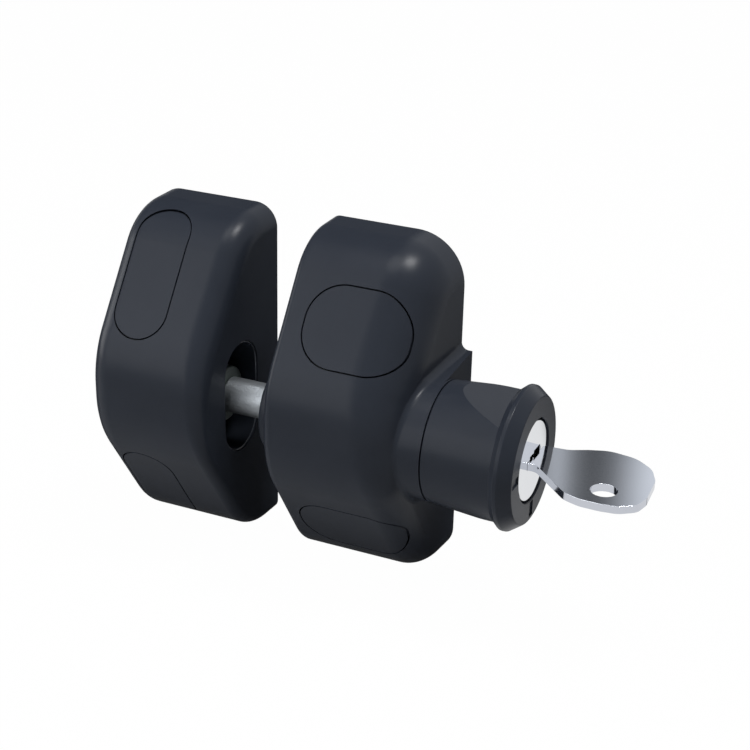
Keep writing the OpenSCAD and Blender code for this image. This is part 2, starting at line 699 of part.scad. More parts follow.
module lock_wafers() color(bronze) for (i = [0:wafer_count - 1])
    translate([wafer_x + i * wafer_pitch, -axis_depth, 0]) difference() {
        translate([0, -wafer_l / 2, -wafer_w / 2]) cube([wafer_t, wafer_l, wafer_w]);
        translate([-1, -blade_w / 2 - 0.4, -key_t / 2 - 0.4])
            cube([wafer_t + 2, blade_w + 0.8, key_t + 0.8]);
    }

// Cam: a disc with a crank pin that moves the lock bolt
module lock_cam() color(steel) difference() {
    union() {
        on_axis(cam_x) cylinder(r = cam_r, h = cam_t);
        on_axis(cam_x) translate([0, lock_travel, -bolt_plate_t - 0.2])
            cylinder(r = crank_r, h = bolt_plate_t + 1);
    }
    on_axis(cam_x - 1) cylinder(r = 1.2, h = 10, $fn = 24);
    on_axis(cam_x - eps) cylinder(r1 = 2.15, r2 = 1.1, h = 1.05, $fn = 24);
}

module cam_screw() color(steel) on_axis(cam_x) rotate_extrude($fn = 24)
    polygon([[0, 0.05], [2, 0.05], [0.9, 1.1], [0.9, cam_t + 3], [0, cam_t + 3.4]]);

// Lock bolt: a plate with a cross slot that the crank pin runs in
bolt_plate_top = 5;
module lock_bolt() color(steel) translate([bolt_plate_x, -axis_depth, 0]) difference() {
    union() {
        translate([0, -bolt_tongue / 2, -bolt_tip_r]) cube([bolt_plate_t, bolt_tongue, bolt_tip_r]);
        translate([0, -bolt_plate_w / 2, -lock_travel])
            cube([bolt_plate_t, bolt_plate_w, lock_travel + bolt_plate_top]);
    }
    translate([-1, -crank_r - 0.1, -crank_r - 0.8])
        cube([bolt_plate_t + 2, lock_travel + 2 * crank_r + 0.2, 2 * crank_r + 0.9]);
}

// Key outline: blade, stop shoulder and bow, as [along the axis from the plug's face, across, corner radius]
blade_top = blade_w / 2;
blade_in = plug_face_x - blade_tip_x;
key_shape = [[-blade_in, -1, 0.3], [1.6 - blade_in, -blade_top, 0.3], [2.2, -blade_top, 2], [12.7, -14.1, 6],
    [17, -15.6, 8], [22, -15.7, 8], [26.5, -15.1, 5], [30.4, -12.2, 4], [31.3, -8, 3.5], [30.7, 1.3, 5],
    [28.4, 6.8, 8], [23.2, 10.8, 8], [16, 11.8, 8], [11.2, 10, 6], [6.8, 7.7, 6], [0.3, 7.1, 0.4],
    [0.3, blade_top, 0.2], [1.6 - blade_in, blade_top, 0.3], [-blade_in, 1, 0.3]];

// Rounds each corner of an outline with its own radius
function rounded_corner(p, q, s, r, n) =
    let (u = unit(p - q), w = unit(s - q), half = acos(u * w) / 2,
        cut = min(r / tan(half), 0.45 * min(norm(p - q), norm(s - q))))
    cut < 0.06 ? [q] : [for (k = [0:n]) let (t = k / n)
        (1 - t) * (1 - t) * (q + u * cut) + 2 * t * (1 - t) * q + t * t * (q + w * cut)];

function flat_point(p) = [p[0], p[1]];
function rounded_outline(shape, n) = let (m = len(shape))
    [for (i = [0:m - 1]) each rounded_corner(flat_point(shape[(i + m - 1) % m]), flat_point(shape[i]),
        flat_point(shape[(i + 1) % m]), shape[i][2], n)];

bitting = [0.6, 1.4, 0.9, 1.7, 0.8];

module key() color(steel) difference() {
    translate([plug_face_x, -axis_depth, -key_t / 2]) linear_extrude(key_t)
        polygon(rounded_outline(key_shape, 4));
    // ring hole
    translate([plug_face_x + 21, -axis_depth - 8.8, -5]) cylinder(r = 3.3, h = 10);
    // groove along the blade
    translate([blade_tip_x - 1, -axis_depth - 0.2, key_t / 2 - 0.6])
        cube([plug_face_x - blade_tip_x + 3.4, 2.2, 5]);
    // cuts for the wafers
    for (i = [0:wafer_count - 1])
        translate([wafer_x + i * wafer_pitch + wafer_t / 2, -axis_depth - blade_top - 0.07, -5]) rotate(45)
            translate([-bitting[i % 5] / sqrt(2), -bitting[i % 5] / sqrt(2), 0])
                cube([bitting[i % 5] * sqrt(2), bitting[i % 5] * sqrt(2), 10]);
}

module striker_housing() color(black_plastic) difference() {
    union() {
        difference() {
            striker_form();
            striker_form(wall, 1);
        }
        intersection() {
            striker_form(1);
            union() {
                for (c = striker_caps) well_prism(c, well_wall, -well_depth - well_wall, 5);
                for (s = [-1, 1])
                    slot_y(tall_cap_x, slot_z + s * slot_span_z / 2, fixing_r + slot_wall,
                        slot_l + 2 * slot_wall, -body_depth, -plate_t - seat_gap);
                for (p = striker_screw_at) along_y(p[0], p[1], boss_r, -body_depth, -plate_t - seat_gap);
                // wall that backs the magnet
                translate([cup_back_x - pole_t - seat_gap * 2 - backing_t, -body_depth, -backing_h / 2])
                    cube([backing_t, body_depth - plate_t - seat_gap, backing_h]);
            }
        }
    }
    // pocket opening
    on_axis(side_at_axis - 8) {
        for (s = [-1, 1])
            translate([s * (pocket_h - pocket_w) / 2, 0, 0]) cylinder(r = pocket_w / 2, h = 14);
        translate([-(pocket_h - pocket_w) / 2, -pocket_w / 2, 0]) cube([pocket_h - pocket_w, pocket_w, 14]);
    }
    for (c = striker_caps) {
        difference() {
            cap_prism(c, move_gap, -12, 6);
            striker_form(cap_t + 0.2);
        }
        well_prism(c, 0, -well_depth, 6);
    }
    for (s = [-1, 1])
        slot_y(tall_cap_x, slot_z + s * slot_span_z / 2, fixing_r, slot_l, -fixing_reach, 1);
    for (p = striker_screw_at) along_y(p[0], p[1], screw_shaft_r + seat_gap, -screw_l - 0.3, 1);
}

module striker_back_plate() color(soft_black) difference() {
    rotate([90, 0, 0]) linear_extrude(plate_t)
        plate_outline(striker_left + wall + 0.3, striker_right - wall - 0.3, body_bottom + wall + 0.3,
            body_top - wall - 0.3, striker_left_r - wall, striker_right_r - wall,
            striker_low_r - wall);
    for (s = [-1, 1])
        slot_y(tall_cap_x, slot_z + s * slot_span_z / 2, fixing_r, slot_l, -plate_t - 1, 1);
    for (p = striker_screw_at) plate_hole(p);
}

module striker_plate_screws() color(steel) for (p = striker_screw_at) plate_screw(p);

// A tall stadium on the pin's axis from x to x + l, grown inwards by less
module stadium_on_axis(x, l, less) {
    w = pocket_w - 2 * less;
    h = pocket_h - 2 * less;
    on_axis(x) {
        for (s = [-1, 1]) translate([s * (h - w) / 2, 0, 0]) cylinder(r = w / 2, h = l);
        translate([-(h - w) / 2, -w / 2, 0]) cube([h - w, w, l]);
    }
}

// The pocket's lining: a tall cup whose rim stands a little out of the leaning side face
rim_out = 0.15;
module pocket_liner() color(soft_black) difference() {
    stadium_on_axis(liner_floor_x - liner_floor_t, pocket_depth + liner_floor_t + 3, seat_gap);
    stadium_on_axis(liner_floor_x, 30, seat_gap + liner_t);
    on_axis(liner_floor_x - 5) cylinder(r = cup_r + seat_gap, h = 10);
    translate([striker_right + rim_out, 0, -pocket_h]) rotate([0, 0, -pocket_draft])
        translate([0, -2 * body_depth, 0]) cube([pocket_depth, 3 * body_depth, 2 * pocket_h]);
}

// Holder of the magnet, which the bolt pin is pulled against
module magnet_cup() color(grey_green) on_axis(cup_back_x) difference() {
    union() {
        cylinder(r = cup_flange_r, h = cup_flange_t);
        rotate_extrude() polygon([[0, 0], [cup_r, 0], [cup_r, cup_face_x - cup_back_x - cup_edge],
            [cup_r - cup_edge, cup_face_x - cup_back_x], [0, cup_face_x - cup_back_x]]);
    }
    translate([0, 0, -1]) cylinder(r = cup_r - cup_wall, h = cup_face_x - cup_back_x - cup_front_t + 1);
}

module magnet() color(steel) on_axis(cup_back_x) cylinder(r = cup_r - cup_wall - seat_gap,
    h = cup_face_x - cup_back_x - cup_front_t - seat_gap);

module pole_plate() color(steel) on_axis(cup_back_x - pole_t - seat_gap) cylinder(r = pole_r, h = pole_t);

latch_housing();
latch_back_plate();
latch_plate_screws();
latch_upper_cap();
latch_lower_cap();
nose_bush();
collar_bush();
collar_seal();
knob_spring();
bolt_pin();
pin_spring();
knob_grip();
knob_stem();
catch_ring();
stem_screws();
lock_barrel();
lock_plug();
lock_wafers();
lock_cam();
cam_screw();
lock_bolt();
key();
striker_housing();
striker_back_plate();
striker_plate_screws();
striker_upper_cap();
striker_lower_cap();
pocket_liner();
magnet_cup();
magnet();
pole_plate();
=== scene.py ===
import json
import math
from collections import namedtuple

import bmesh
import bpy
import numpy as np
from mathutils import Matrix, Vector
from mathutils.bvhtree import BVHTree


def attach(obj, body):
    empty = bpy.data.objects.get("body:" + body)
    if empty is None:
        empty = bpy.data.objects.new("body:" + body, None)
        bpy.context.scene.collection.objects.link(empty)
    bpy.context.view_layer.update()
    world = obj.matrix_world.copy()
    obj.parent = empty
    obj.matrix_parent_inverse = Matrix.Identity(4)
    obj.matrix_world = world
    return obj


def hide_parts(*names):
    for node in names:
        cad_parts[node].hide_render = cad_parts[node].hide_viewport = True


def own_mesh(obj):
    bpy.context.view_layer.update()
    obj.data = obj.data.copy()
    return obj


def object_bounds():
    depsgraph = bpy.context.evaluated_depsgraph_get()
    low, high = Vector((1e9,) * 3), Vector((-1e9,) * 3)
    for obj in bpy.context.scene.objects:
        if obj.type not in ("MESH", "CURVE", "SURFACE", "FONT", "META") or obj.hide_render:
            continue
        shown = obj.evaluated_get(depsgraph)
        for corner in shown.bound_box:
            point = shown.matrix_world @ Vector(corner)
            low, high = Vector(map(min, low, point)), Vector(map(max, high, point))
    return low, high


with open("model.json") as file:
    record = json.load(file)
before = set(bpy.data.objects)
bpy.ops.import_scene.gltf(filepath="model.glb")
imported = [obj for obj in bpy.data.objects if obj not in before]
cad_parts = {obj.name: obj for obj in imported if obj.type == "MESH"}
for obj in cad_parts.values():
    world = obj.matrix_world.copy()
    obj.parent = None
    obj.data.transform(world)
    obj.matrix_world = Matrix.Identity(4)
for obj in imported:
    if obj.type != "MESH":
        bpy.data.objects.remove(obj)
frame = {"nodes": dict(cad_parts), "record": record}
cad_box = [list(map(float, p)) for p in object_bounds()]
nodes = frame["nodes"]

# Camera
# A long lens, high on the right, looking down on the front of both halves. It is turned a little about its own line
# of sight.
turn = math.radians(24.083)
lift = math.radians(24.241)
roll = math.radians(1.360)
look = Vector((math.sin(turn) * math.cos(lift), -math.cos(turn) * math.cos(lift), math.sin(lift)))
level_right = Vector((math.cos(turn), math.sin(turn), 0))
level_up = look.cross(level_right)
right = math.cos(roll) * level_right + math.sin(roll) * level_up
up = math.cos(roll) * level_up - math.sin(roll) * level_right
stand = Matrix.Translation((0.15836, -0.36656, 0.18558))
lens = bpy.data.cameras.new("camera")
lens.lens = 79.39
lens.sensor_width = 36
camera = bpy.data.objects.new("camera", lens)
camera.matrix_world = stand @ Matrix((right, up, look)).transposed().to_4x4()
bpy.context.scene.collection.objects.link(camera)
bpy.context.scene.camera = camera

# Room and lamps
# A white room, lit by soft boxes: one overhead, a stronger one high up on the right, one at the front left, one
# above that for the slopes, and one on the left. The room itself gives almost no light, and is white to the camera.
world = bpy.data.worlds.new("room")
bpy.context.scene.world = world
world.use_nodes = True
SOFT = {"interpolation_type": "SMOOTHSTEP"}


def add(tree, kind, settings=(), inputs=(), links=()):
    """Adds one node to a tree, with its settings, its inputs' values and its links."""
    node = tree.nodes.new(kind)
    for name, value in dict(settings).items():
        setattr(node, name, value)
    for name, value in dict(inputs).items():
        node.inputs[name].default_value = value
    for name, source in dict(links).items():
        tree.links.new(source, node.inputs[name])
    return node


def sight(tree):
    """1 for what the camera sees directly, in a mirror or through glass, and 0 for the light itself."""
    path = add(tree, "ShaderNodeLightPath")
    mirror = add(tree, "ShaderNodeMath", {"operation": "MAXIMUM"},
                 links={0: path.outputs["Is Glossy Ray"], 1: path.outputs["Is Transmission Ray"]})
    return add(tree, "ShaderNodeMath", {"operation": "MAXIMUM"},
               links={0: path.outputs["Is Camera Ray"], 1: mirror.outputs[0]}).outputs[0]


room = world.node_tree
room.nodes.clear()
# Mirrors see a pale room low down. Higher up behind the latch they see a ceiling that goes from left to right through
# dark, a narrow bright strip, dark again and a wide white strip to grey.
heading = add(room, "ShaderNodeTexCoord")
way = add(room, "ShaderNodeSeparateXYZ", links={0: heading.outputs["Generated"]})
behind = add(room, "ShaderNodeMath", {"operation": "MAXIMUM"}, {1: 0.05}, {0: way.outputs["Y"]})
across = add(room, "ShaderNodeMath", {"operation": "DIVIDE"}, links={0: way.outputs["X"], 1: behind.outputs[0]})
along = add(room, "ShaderNodeMapRange", inputs={"From Min": -0.36, "From Max": -0.16},
            links={"Value": across.outputs[0]})
ceiling = add(room, "ShaderNodeValToRGB", links={0: along.outputs[0]})
stops = ceiling.color_ramp.elements
for spot, grey in ((0.0, 0.03), (0.2, 0.25), (0.28, 0.75), (0.336, 0.22), (0.40, 0.08), (0.48, 0.2),
                   (0.61, 1.0), (0.8, 0.9), (1.0, 0.3)):
    stop = stops.new(spot) if 0 < spot < 1 else stops[int(spot)]
    stop.color = (grey * 0.94, grey * 0.97, grey, 1)
height = add(room, "ShaderNodeMapRange", SOFT, {"From Min": 0.0, "From Max": 0.15}, {"Value": way.outputs["Z"]})
rear = add(room, "ShaderNodeMapRange", SOFT, {"From Min": 0.0, "From Max": 0.35}, {"Value": way.outputs["Y"]})
overhead = add(room, "ShaderNodeMath", {"operation": "MULTIPLY"}, links={0: height.outputs[0], 1: rear.outputs[0]})
mirrored = add(room, "ShaderNodeMix", {"data_type": "RGBA"}, {6: (0.86, 0.87, 0.88, 1)},
               {0: overhead.outputs[0], 7: ceiling.outputs[0]})
path = add(room, "ShaderNodeLightPath")
tone = add(room, "ShaderNodeMix", {"data_type": "RGBA"}, {6: (1, 1, 1, 1)},
           {0: path.outputs["Is Glossy Ray"], 7: mirrored.outputs[2]})
dim = add(room, "ShaderNodeBackground", inputs={"Color": (1, 1, 1, 1), "Strength": 0.02})
bright = add(room, "ShaderNodeBackground", inputs={"Strength": 1.0}, links={"Color": tone.outputs[2]})
both = add(room, "ShaderNodeMixShader", links={0: sight(room), 1: dim.outputs[0], 2: bright.outputs[0]})
add(room, "ShaderNodeOutputWorld", links={"Surface": both.outputs[0]})


def soft_box(name, place, target, size, watts):
    """A lamp with an even square face, at a place and facing a target."""
    lamp = bpy.data.lights.new(name, "AREA")
    lamp.energy = watts
    lamp.shape = "RECTANGLE"
    lamp.size, lamp.size_y = size
    box = bpy.data.objects.new(name, lamp)
    box.location = place
    box.rotation_euler = (Vector(target) - Vector(place)).to_track_quat("-Z", "Y").to_euler()
    bpy.context.scene.collection.objects.link(box)


soft_box("top_box", (-0.05, -0.10, 0.70), (0, 0, 0), (0.3, 0.3), 1.35)
soft_box("high_spot", (0.27, 0.07, 0.86), (0, 0, 0.03), (0.23, 0.23), 6.5)
soft_box("front_box", (-0.30, -0.50, 0.22), (0, 0, 0), (0.5, 0.4), 1.6)
soft_box("slope_box", (-0.32, -0.36, 0.53), (0, 0, 0), (0.35, 0.35), 0.58)
soft_box("left_box", (-0.68, -0.12, 0.10), (0, 0, 0), (0.3, 0.3), 1.1)

# Floor
# A sheet of matt white paper, 4 m square, that lies just under the latch. It is white to the camera, with a trace of
# the latch's shadow on it.
floor_mesh = bpy.data.meshes.new("floor")
floor_z = cad_box[0][2] - 0.0002
floor_mesh.from_pydata([(x, y, floor_z) for x, y in ((-2, -2), (2, -2), (2, 2), (-2, 2))], [], [(0, 1, 2, 3)])
floor = bpy.data.objects.new("floor", floor_mesh)
bpy.context.scene.collection.objects.link(floor)
paper = bpy.data.materials.new("white_paper")
paper.use_nodes = True
sheet = paper.node_tree
sheet.nodes.clear()
matt = add(sheet, "ShaderNodeBsdfDiffuse", inputs={"Color": (0.65, 0.65, 0.65, 1)})
# Mirrors see a dark card on the paper, under the halves and behind them. A white strip is left open in it along the
# slanting line that the plug's face reflects, and it ends before the line that the key's right edge reflects.
ground = add(sheet, "ShaderNodeTexCoord")
spread = add(sheet, "ShaderNodeSeparateXYZ", links={"Vector": ground.outputs["Object"]})
slant = add(sheet, "ShaderNodeMath", {"operation": "MULTIPLY_ADD"}, {1: -0.446},
            {0: spread.outputs["Y"], 2: spread.outputs["X"]})
strip_middle = add(sheet, "ShaderNodeMath", {"operation": "SUBTRACT"}, {1: 0.0525}, {0: slant.outputs[0]})
strip_side = add(sheet, "ShaderNodeMath", {"operation": "ABSOLUTE"}, links={0: strip_middle.outputs[0]})
off_strip = add(sheet, "ShaderNodeMapRange", SOFT, {"From Min": 0.012, "From Max": 0.020},
                {"Value": strip_side.outputs[0]})
card_end = add(sheet, "ShaderNodeMapRange", SOFT,
               {"From Min": 0.078, "From Max": 0.092, "To Min": 1.0, "To Max": 0.0}, {"Value": slant.outputs[0]})
card_front = add(sheet, "ShaderNodeMapRange", SOFT, {"From Min": -0.065, "From Max": -0.005},
                 {"Value": spread.outputs["Y"]})
card_width = add(sheet, "ShaderNodeMath", {"operation": "MULTIPLY"},
                 links={0: off_strip.outputs[0], 1: card_end.outputs[0]})
card_shape = add(sheet, "ShaderNodeMath", {"operation": "MULTIPLY"},
                 links={0: card_width.outputs[0], 1: card_front.outputs[0]})
card_tone = add(sheet, "ShaderNodeMapRange", inputs={"To Min": 0.86, "To Max": 0.04},
                links={"Value": card_shape.outputs[0]})
eye = add(sheet, "ShaderNodeLightPath")
level = add(sheet, "ShaderNodeMapRange", inputs={"To Max": 1.0},
            links={"Value": eye.outputs["Is Camera Ray"], "To Min": card_tone.outputs[0]})
white = add(sheet, "ShaderNodeEmission", inputs={"Color": (1, 1, 1, 1)}, links={"Strength": level.outputs[0]})
share = add(sheet, "ShaderNodeMath", {"operation": "MULTIPLY"}, {1: 0.99}, {0: sight(sheet)})
seen = add(sheet, "ShaderNodeMixShader", links={0: share.outputs[0], 1: matt.outputs[0], 2: white.outputs[0]})
add(sheet, "ShaderNodeOutputMaterial", links={"Surface": seen.outputs[0]})
floor.data.materials.append(paper)

# Latch housing
# The hollow half that goes on the gate, moulded from glass-filled nylon with the nose that the bolt pin slides out
# of, the collar that the knob slides in, and the tubes for its fixings. The side faces lean inwards for the mould.
MM = 0.001
# The gate's face is at y = 0, and the bolt pin's line runs along X in front of it, at this y and z = 0.
PIN_Y = -19.0


def linear(hex_colour):
    """An sRGB hex colour as the linear values that Blender works in."""
    parts = [int(hex_colour[i:i + 2], 16) / 255 for i in (1, 3, 5)]
    return tuple(c / 12.92 if c <= 0.04045 else ((c + 0.055) / 1.055) ** 2.4 for c in parts) + (1.0,)


def finish_of(name, hues, metallic, roughness, spread, grain_mm, grain_depth=0.0, patch_mm=12.0, shine=0.5):
    """A surface with two close colours in soft patches, a fine grain, and roughness that varies with it by spread."""
    material = bpy.data.materials.new(name)
    material.use_nodes = True
    tree = material.node_tree
    skin = tree.nodes["Principled BSDF"]
    skin.inputs["Metallic"].default_value = metallic
    skin.inputs["Specular IOR Level"].default_value = shine
    where = add(tree, "ShaderNodeTexCoord")
    patches = add(tree, "ShaderNodeTexNoise", inputs={"Scale": 1000 / patch_mm, "Detail": 3.0},
                  links={"Vector": where.outputs["Object"]})
    colours = add(tree, "ShaderNodeMix", {"data_type": "RGBA"}, {6: linear(hues[0]), 7: linear(hues[1])},
                  {0: patches.outputs["Fac"]})
    tree.links.new(colours.outputs[2], skin.inputs["Base Color"])
    grain = add(tree, "ShaderNodeTexNoise", inputs={"Scale": 1000 / grain_mm, "Detail": 2.0},
                links={"Vector": where.outputs["Object"]})
    rough = add(tree, "ShaderNodeMapRange", inputs={"To Min": roughness - spread, "To Max": roughness + spread},
                links={"Value": grain.outputs["Fac"]})
    tree.links.new(rough.outputs[0], skin.inputs["Roughness"])
    if grain_depth:
        bump = add(tree, "ShaderNodeBump", inputs={"Strength": 1.0, "Distance": grain_depth * MM},
                   links={"Height": grain.outputs["Fac"]})
        tree.links.new(bump.outputs[0], skin.inputs["Normal"])
    return material


# Blue-black and satin: a fine spark-eroded grain spreads each highlight. The grain is really about 0.05 mm, and is
# drawn 0.35 mm wide so that it shows.
nylon = finish_of("moulded_glass_filled_nylon", ("#252931", "#2b2f37"), metallic=0.0,
                  roughness=0.29, spread=0.03, grain_mm=0.35, grain_depth=0.003, shine=0.095)

# Both halves share one outline in the YZ plane: the back, the top brow, the front between its two slopes, the bottom
# brow and the back again. Its four front corners are rounded by these radii.
TOP, BOTTOM, DEPTH = 47.7, -42.9, 40.05
corners = np.array([(0, TOP), (-16.14, TOP), (-DEPTH, 13.25), (-DEPTH, -7.55), (-16.15, BOTTOM), (0, BOTTOM)])
corner_radii = (18.0, 28.0, 28.0, 19.5)
ARC_STEPS = 18
# Down the outline, the radius of a half's right edge goes over from the upper one to the lower one.
arcs = [np.linspace(start, end, ARC_STEPS + 1) for start, end in ((1, 9), (10, 16), (17, 23), (24, 32))]
way_down = np.concatenate([[0], *arcs, [33]]) / 33
lower_share = np.clip((way_down - 0.35) / 0.3, 0, 1)

# A half's left and right sides, the radii of its edges on the left and at the upper and lower right, and the slope of
# its right side. Both left sides lean a little.
Half = namedtuple("Half", "left right left_edge upper_edge lower_edge side_slope")
LATCH = Half(-18.8, 18.8, 2.6, 13.2, 7.4, math.tan(math.radians(3.7)))
left_slope = math.tan(math.radians(0.3))

# A cap is on the upper or the lower slope, with its middle at x and so far along the slope from the front. The well
# under it is shorter by well_trim at the far end.
Cap = namedtuple("Cap", "name upper x along width height radius well_trim")
LATCH_CAPS = [Cap("latch_upper_cap", True, 1.3, 19.9, 26.6, 21.4, 9.5, 0),
              Cap("latch_lower_cap", False, 1.0, 23.8, 29.0, 18.4, 8.6, 0)]


def outline(inset, back):
    """A housing's outline in the YZ plane, moved inwards, from the top of the back round the front."""
    points = [(back, TOP - inset)]
    for i, radius in enumerate(corner_radii, 1):
        a = corners[i] - corners[i - 1]
        b = corners[i + 1] - corners[i]
        a, b = a / np.linalg.norm(a), b / np.linalg.norm(b)
        bend = math.acos(a @ b)
        inward = np.array((-a[1], a[0]))
        middle = corners[i] - a * radius * math.tan(bend / 2) + inward * radius
        start = math.atan2(-inward[1], -inward[0])
        for k in range(ARC_STEPS + 1):
            t = start + bend * k / ARC_STEPS
            points.append(tuple(middle + (radius - inset) * np.array((math.cos(t), math.sin(t)))))
    points.append((back, BOTTOM + inset))
    return np.array(points)


def mesh_of(name, points, faces):
    """A closed mesh from points in millimetres, with its faces outwards."""
    mesh = bpy.data.meshes.new(name)
    mesh.from_pydata([tuple(c * MM for c in p) for p in points], [], faces)
    work = bmesh.new()
    work.from_mesh(mesh)
    bmesh.ops.recalc_face_normals(work, faces=work.faces)
    work.to_mesh(mesh)
    work.free()
    piece = bpy.data.objects.new(name, mesh)
    bpy.context.scene.collection.objects.link(piece)
    return piece


def skin_of(name, rings, looped=False):
    """A closed skin over rings of equally many points, closed at its ends or joined into a loop."""
    n, m = len(rings[0]), len(rings)
    faces = [[j * n + i, (j + 1) % m * n + i, (j + 1) % m * n + (i + 1) % n, j * n + (i + 1) % n]
             for j in range(m if looped else m - 1) for i in range(n)]
    if not looped:
        faces += [list(range(n)), list(range((m - 1) * n, m * n))]
    return mesh_of(name, [p for ring in rings for p in ring], faces)


def housing_form(half, inset=0.0, back=0.0):
    """The solid form of a half, smaller all round by inset."""
    left, right_side = half.left + inset, half.right - inset
    left_edge = max(half.left_edge - inset, 1)
    upper_edge = half.upper_edge - inset
    lower_edge = max(half.lower_edge - inset, 0.6)
    rings = []
    for t in np.linspace(0, math.pi / 2, 11):
        side = outline(inset + left_edge * (1 - math.sin(t)), back)
        rings.append([(left + left_edge * (1 - math.cos(t)) - left_slope * y, y, z) for y, z in side])
    edges = upper_edge + lower_share * (lower_edge - upper_edge)
    for t in np.linspace(math.pi / 2, 0, 17):
        upper = outline(inset + upper_edge * (1 - math.sin(t)), back)
        lower = outline(inset + lower_edge * (1 - math.sin(t)), back)
        side = upper + lower_share[:, None] * (lower - upper)
        rings.append([(right_side - edge * (1 - math.cos(t)) + half.side_slope * y, y, z)
                      for (y, z), edge in zip(side, edges)])
    return skin_of("form", rings)


def applied(piece):
    """The piece with its modifiers made part of its mesh."""
    mesh = bpy.data.meshes.new_from_object(piece.evaluated_get(bpy.context.evaluated_depsgraph_get()))
    piece.modifiers.clear()
    piece.data = mesh
    return piece


def shaped(base, how, *tools):
    """The base joined with the tools, cut by them or kept inside them."""
    for tool in tools:
        change = base.modifiers.new("change", "BOOLEAN")
        change.operation = how
        change.object = tool
        change.solver = "MANIFOLD"
        applied(base)
        bpy.data.objects.remove(tool)
    return base


def circle_of(steps):
    """Angles all the way round."""
    return np.linspace(0, 2 * math.pi, steps, endpoint=False)


def turned(name, profile, steps=96, looped=False, axis=(PIN_Y, 0.0)):
    """A lathe-turned form about a line along X, from a list of (radius, x)."""
    round_points = [(math.cos(t), math.sin(t)) for t in circle_of(steps)]
    # The line itself takes a hair's radius, so that no two points meet.
    rings = [[(x, axis[0] + max(r, 1e-4) * c, axis[1] + max(r, 1e-4) * s) for c, s in round_points]
             for r, x in profile]
    return skin_of(name, rings, looped)


def rod(name, radius, start, end, steps=96, axis=(PIN_Y, 0.0)):
    """A plain round bar along X."""
    return turned(name, [(0, start), (radius, start), (radius, end), (0, end)], steps, axis=axis)


def eased(profile, radii, steps=5):
    """A profile whose corners are rounded by their own radii."""
    points = []
    for i, radius in enumerate(radii):
        corner = np.array(profile[i], float)
        if not radius:
            points.append(tuple(corner))
            continue
        a = np.array(profile[i - 1], float) - corner
        b = np.array(profile[(i + 1) % len(profile)], float) - corner
        a, b = a / np.linalg.norm(a), b / np.linalg.norm(b)
        half = math.acos(np.clip(a @ b, -1, 1)) / 2
        a, b = corner + a * radius / math.tan(half), corner + b * radius / math.tan(half)
        points += [tuple((1 - t) ** 2 * a + 2 * t * (1 - t) * corner + t * t * b)
                   for t in np.linspace(0, 1, steps + 1)]
    return points


def bar_y(x, z, radius, start, end):
    """A round bar along Y."""
    return skin_of("bar", [[(x + radius * math.cos(t), y, z + radius * math.sin(t)) for t in circle_of(40)]
                           for y in (start, end)])


def block(low, top):
    """A plain block between two corners."""
    (x0, y0, z0), (x1, y1, z1) = low, top
    return skin_of("block", [[(x, y0, z0), (x, y1, z0), (x, y1, z1), (x, y0, z1)] for x in (x0, x1)])


def rounded_shape(width, tall, radius, steps=16):
    """The points of a rounded rectangle about the middle."""
    quarters = ((1, 1, 0), (-1, 1, 90), (-1, -1, 180), (1, -1, 270))
    return [(sx * (width / 2 - radius) + radius * math.cos(t), sy * (tall / 2 - radius) + radius * math.sin(t))
            for sx, sy, start in quarters for t in np.radians(np.linspace(start, start + 90, steps + 1))]


def on_slope(upper, x, along, shape, low, top):
    """A prism of a shape that stands on the upper or lower slope, at a place along it, from low to top over it."""
    start, end = (corners[2], corners[1]) if upper else (corners[3], corners[4])
    side = 1 if upper else -1
    slope = (end - start) / np.linalg.norm(end - start)
    out = np.array((-slope[1], slope[0])) * side
    rings = []
    for rise in (low, top):
        places = [start + slope * (along + v * side) + out * rise for u, v in shape]
        rings.append([(x + u, y, z) for (u, v), (y, z) in zip(shape, places)])
    return skin_of("prism", rings)


def cap_prism(cap, more, low, top):
    """A cap's outline, wider all round by more, as a prism on its slope."""
    shape = rounded_shape(cap.width + 2 * more, cap.height + 2 * more, cap.radius + more)
    return on_slope(cap.upper, cap.x, cap.along, shape, low, top)


def well_prism(cap, more, low, top):
    """The outline of the screw well under a cap, wider all round by more. The cap rests on the ledge round it."""
    ledge = 1.5
    shape = rounded_shape(cap.width - 2 * ledge + 2 * more, cap.height - 2 * ledge - cap.well_trim + 2 * more,
                          cap.radius - ledge + more)
    return on_slope(cap.upper, cap.x, cap.along - cap.well_trim / 2, shape, low, top)


def housing(half, caps, outside, inside, bosses, bores, fixings, screws):
    """A hollow half with the forms on its outside and inside, its bosses, bores, fixing holes and screw holes.

    The prisms on the slopes run a few millimetres out of the form, so that they cut and join cleanly.
    """
    wall, well_wall, well_floor = 2.6, 1.6, 8.5
    cap_gap, cap_thick = 0.4, 2.0
    screw_radius, screw_depth = 1.15, 9.3
    shell = housing_form(half)
    shaped(shell, "UNION", *outside)
    shaped(shell, "DIFFERENCE", housing_form(half, wall, 1))
    ribs = well_prism(caps[0], well_wall, -well_floor - well_wall, 5)
    shaped(ribs, "UNION", well_prism(caps[1], well_wall, -well_floor - well_wall, 5), *bosses)
    shaped(ribs, "INTERSECT", housing_form(half, 1))
    shaped(shell, "UNION", ribs, *inside)
    shaped(shell, "DIFFERENCE", *bores)
    for cap in caps:
        recess = cap_prism(cap, cap_gap, -12, 6)
        shaped(recess, "DIFFERENCE", housing_form(half, cap_thick))
        shaped(shell, "DIFFERENCE", recess, well_prism(cap, 0, -well_floor, 6))
    shaped(shell, "DIFFERENCE", *fixings)
    shaped(shell, "DIFFERENCE", *[bar_y(x, z, screw_radius, -screw_depth, 1) for x, z in screws])
    return shell


def tree_of(piece):
    """The piece's surface, for finding points on it."""
    return BVHTree.FromPolygons([v.co for v in piece.data.vertices], [p.vertices for p in piece.data.polygons])


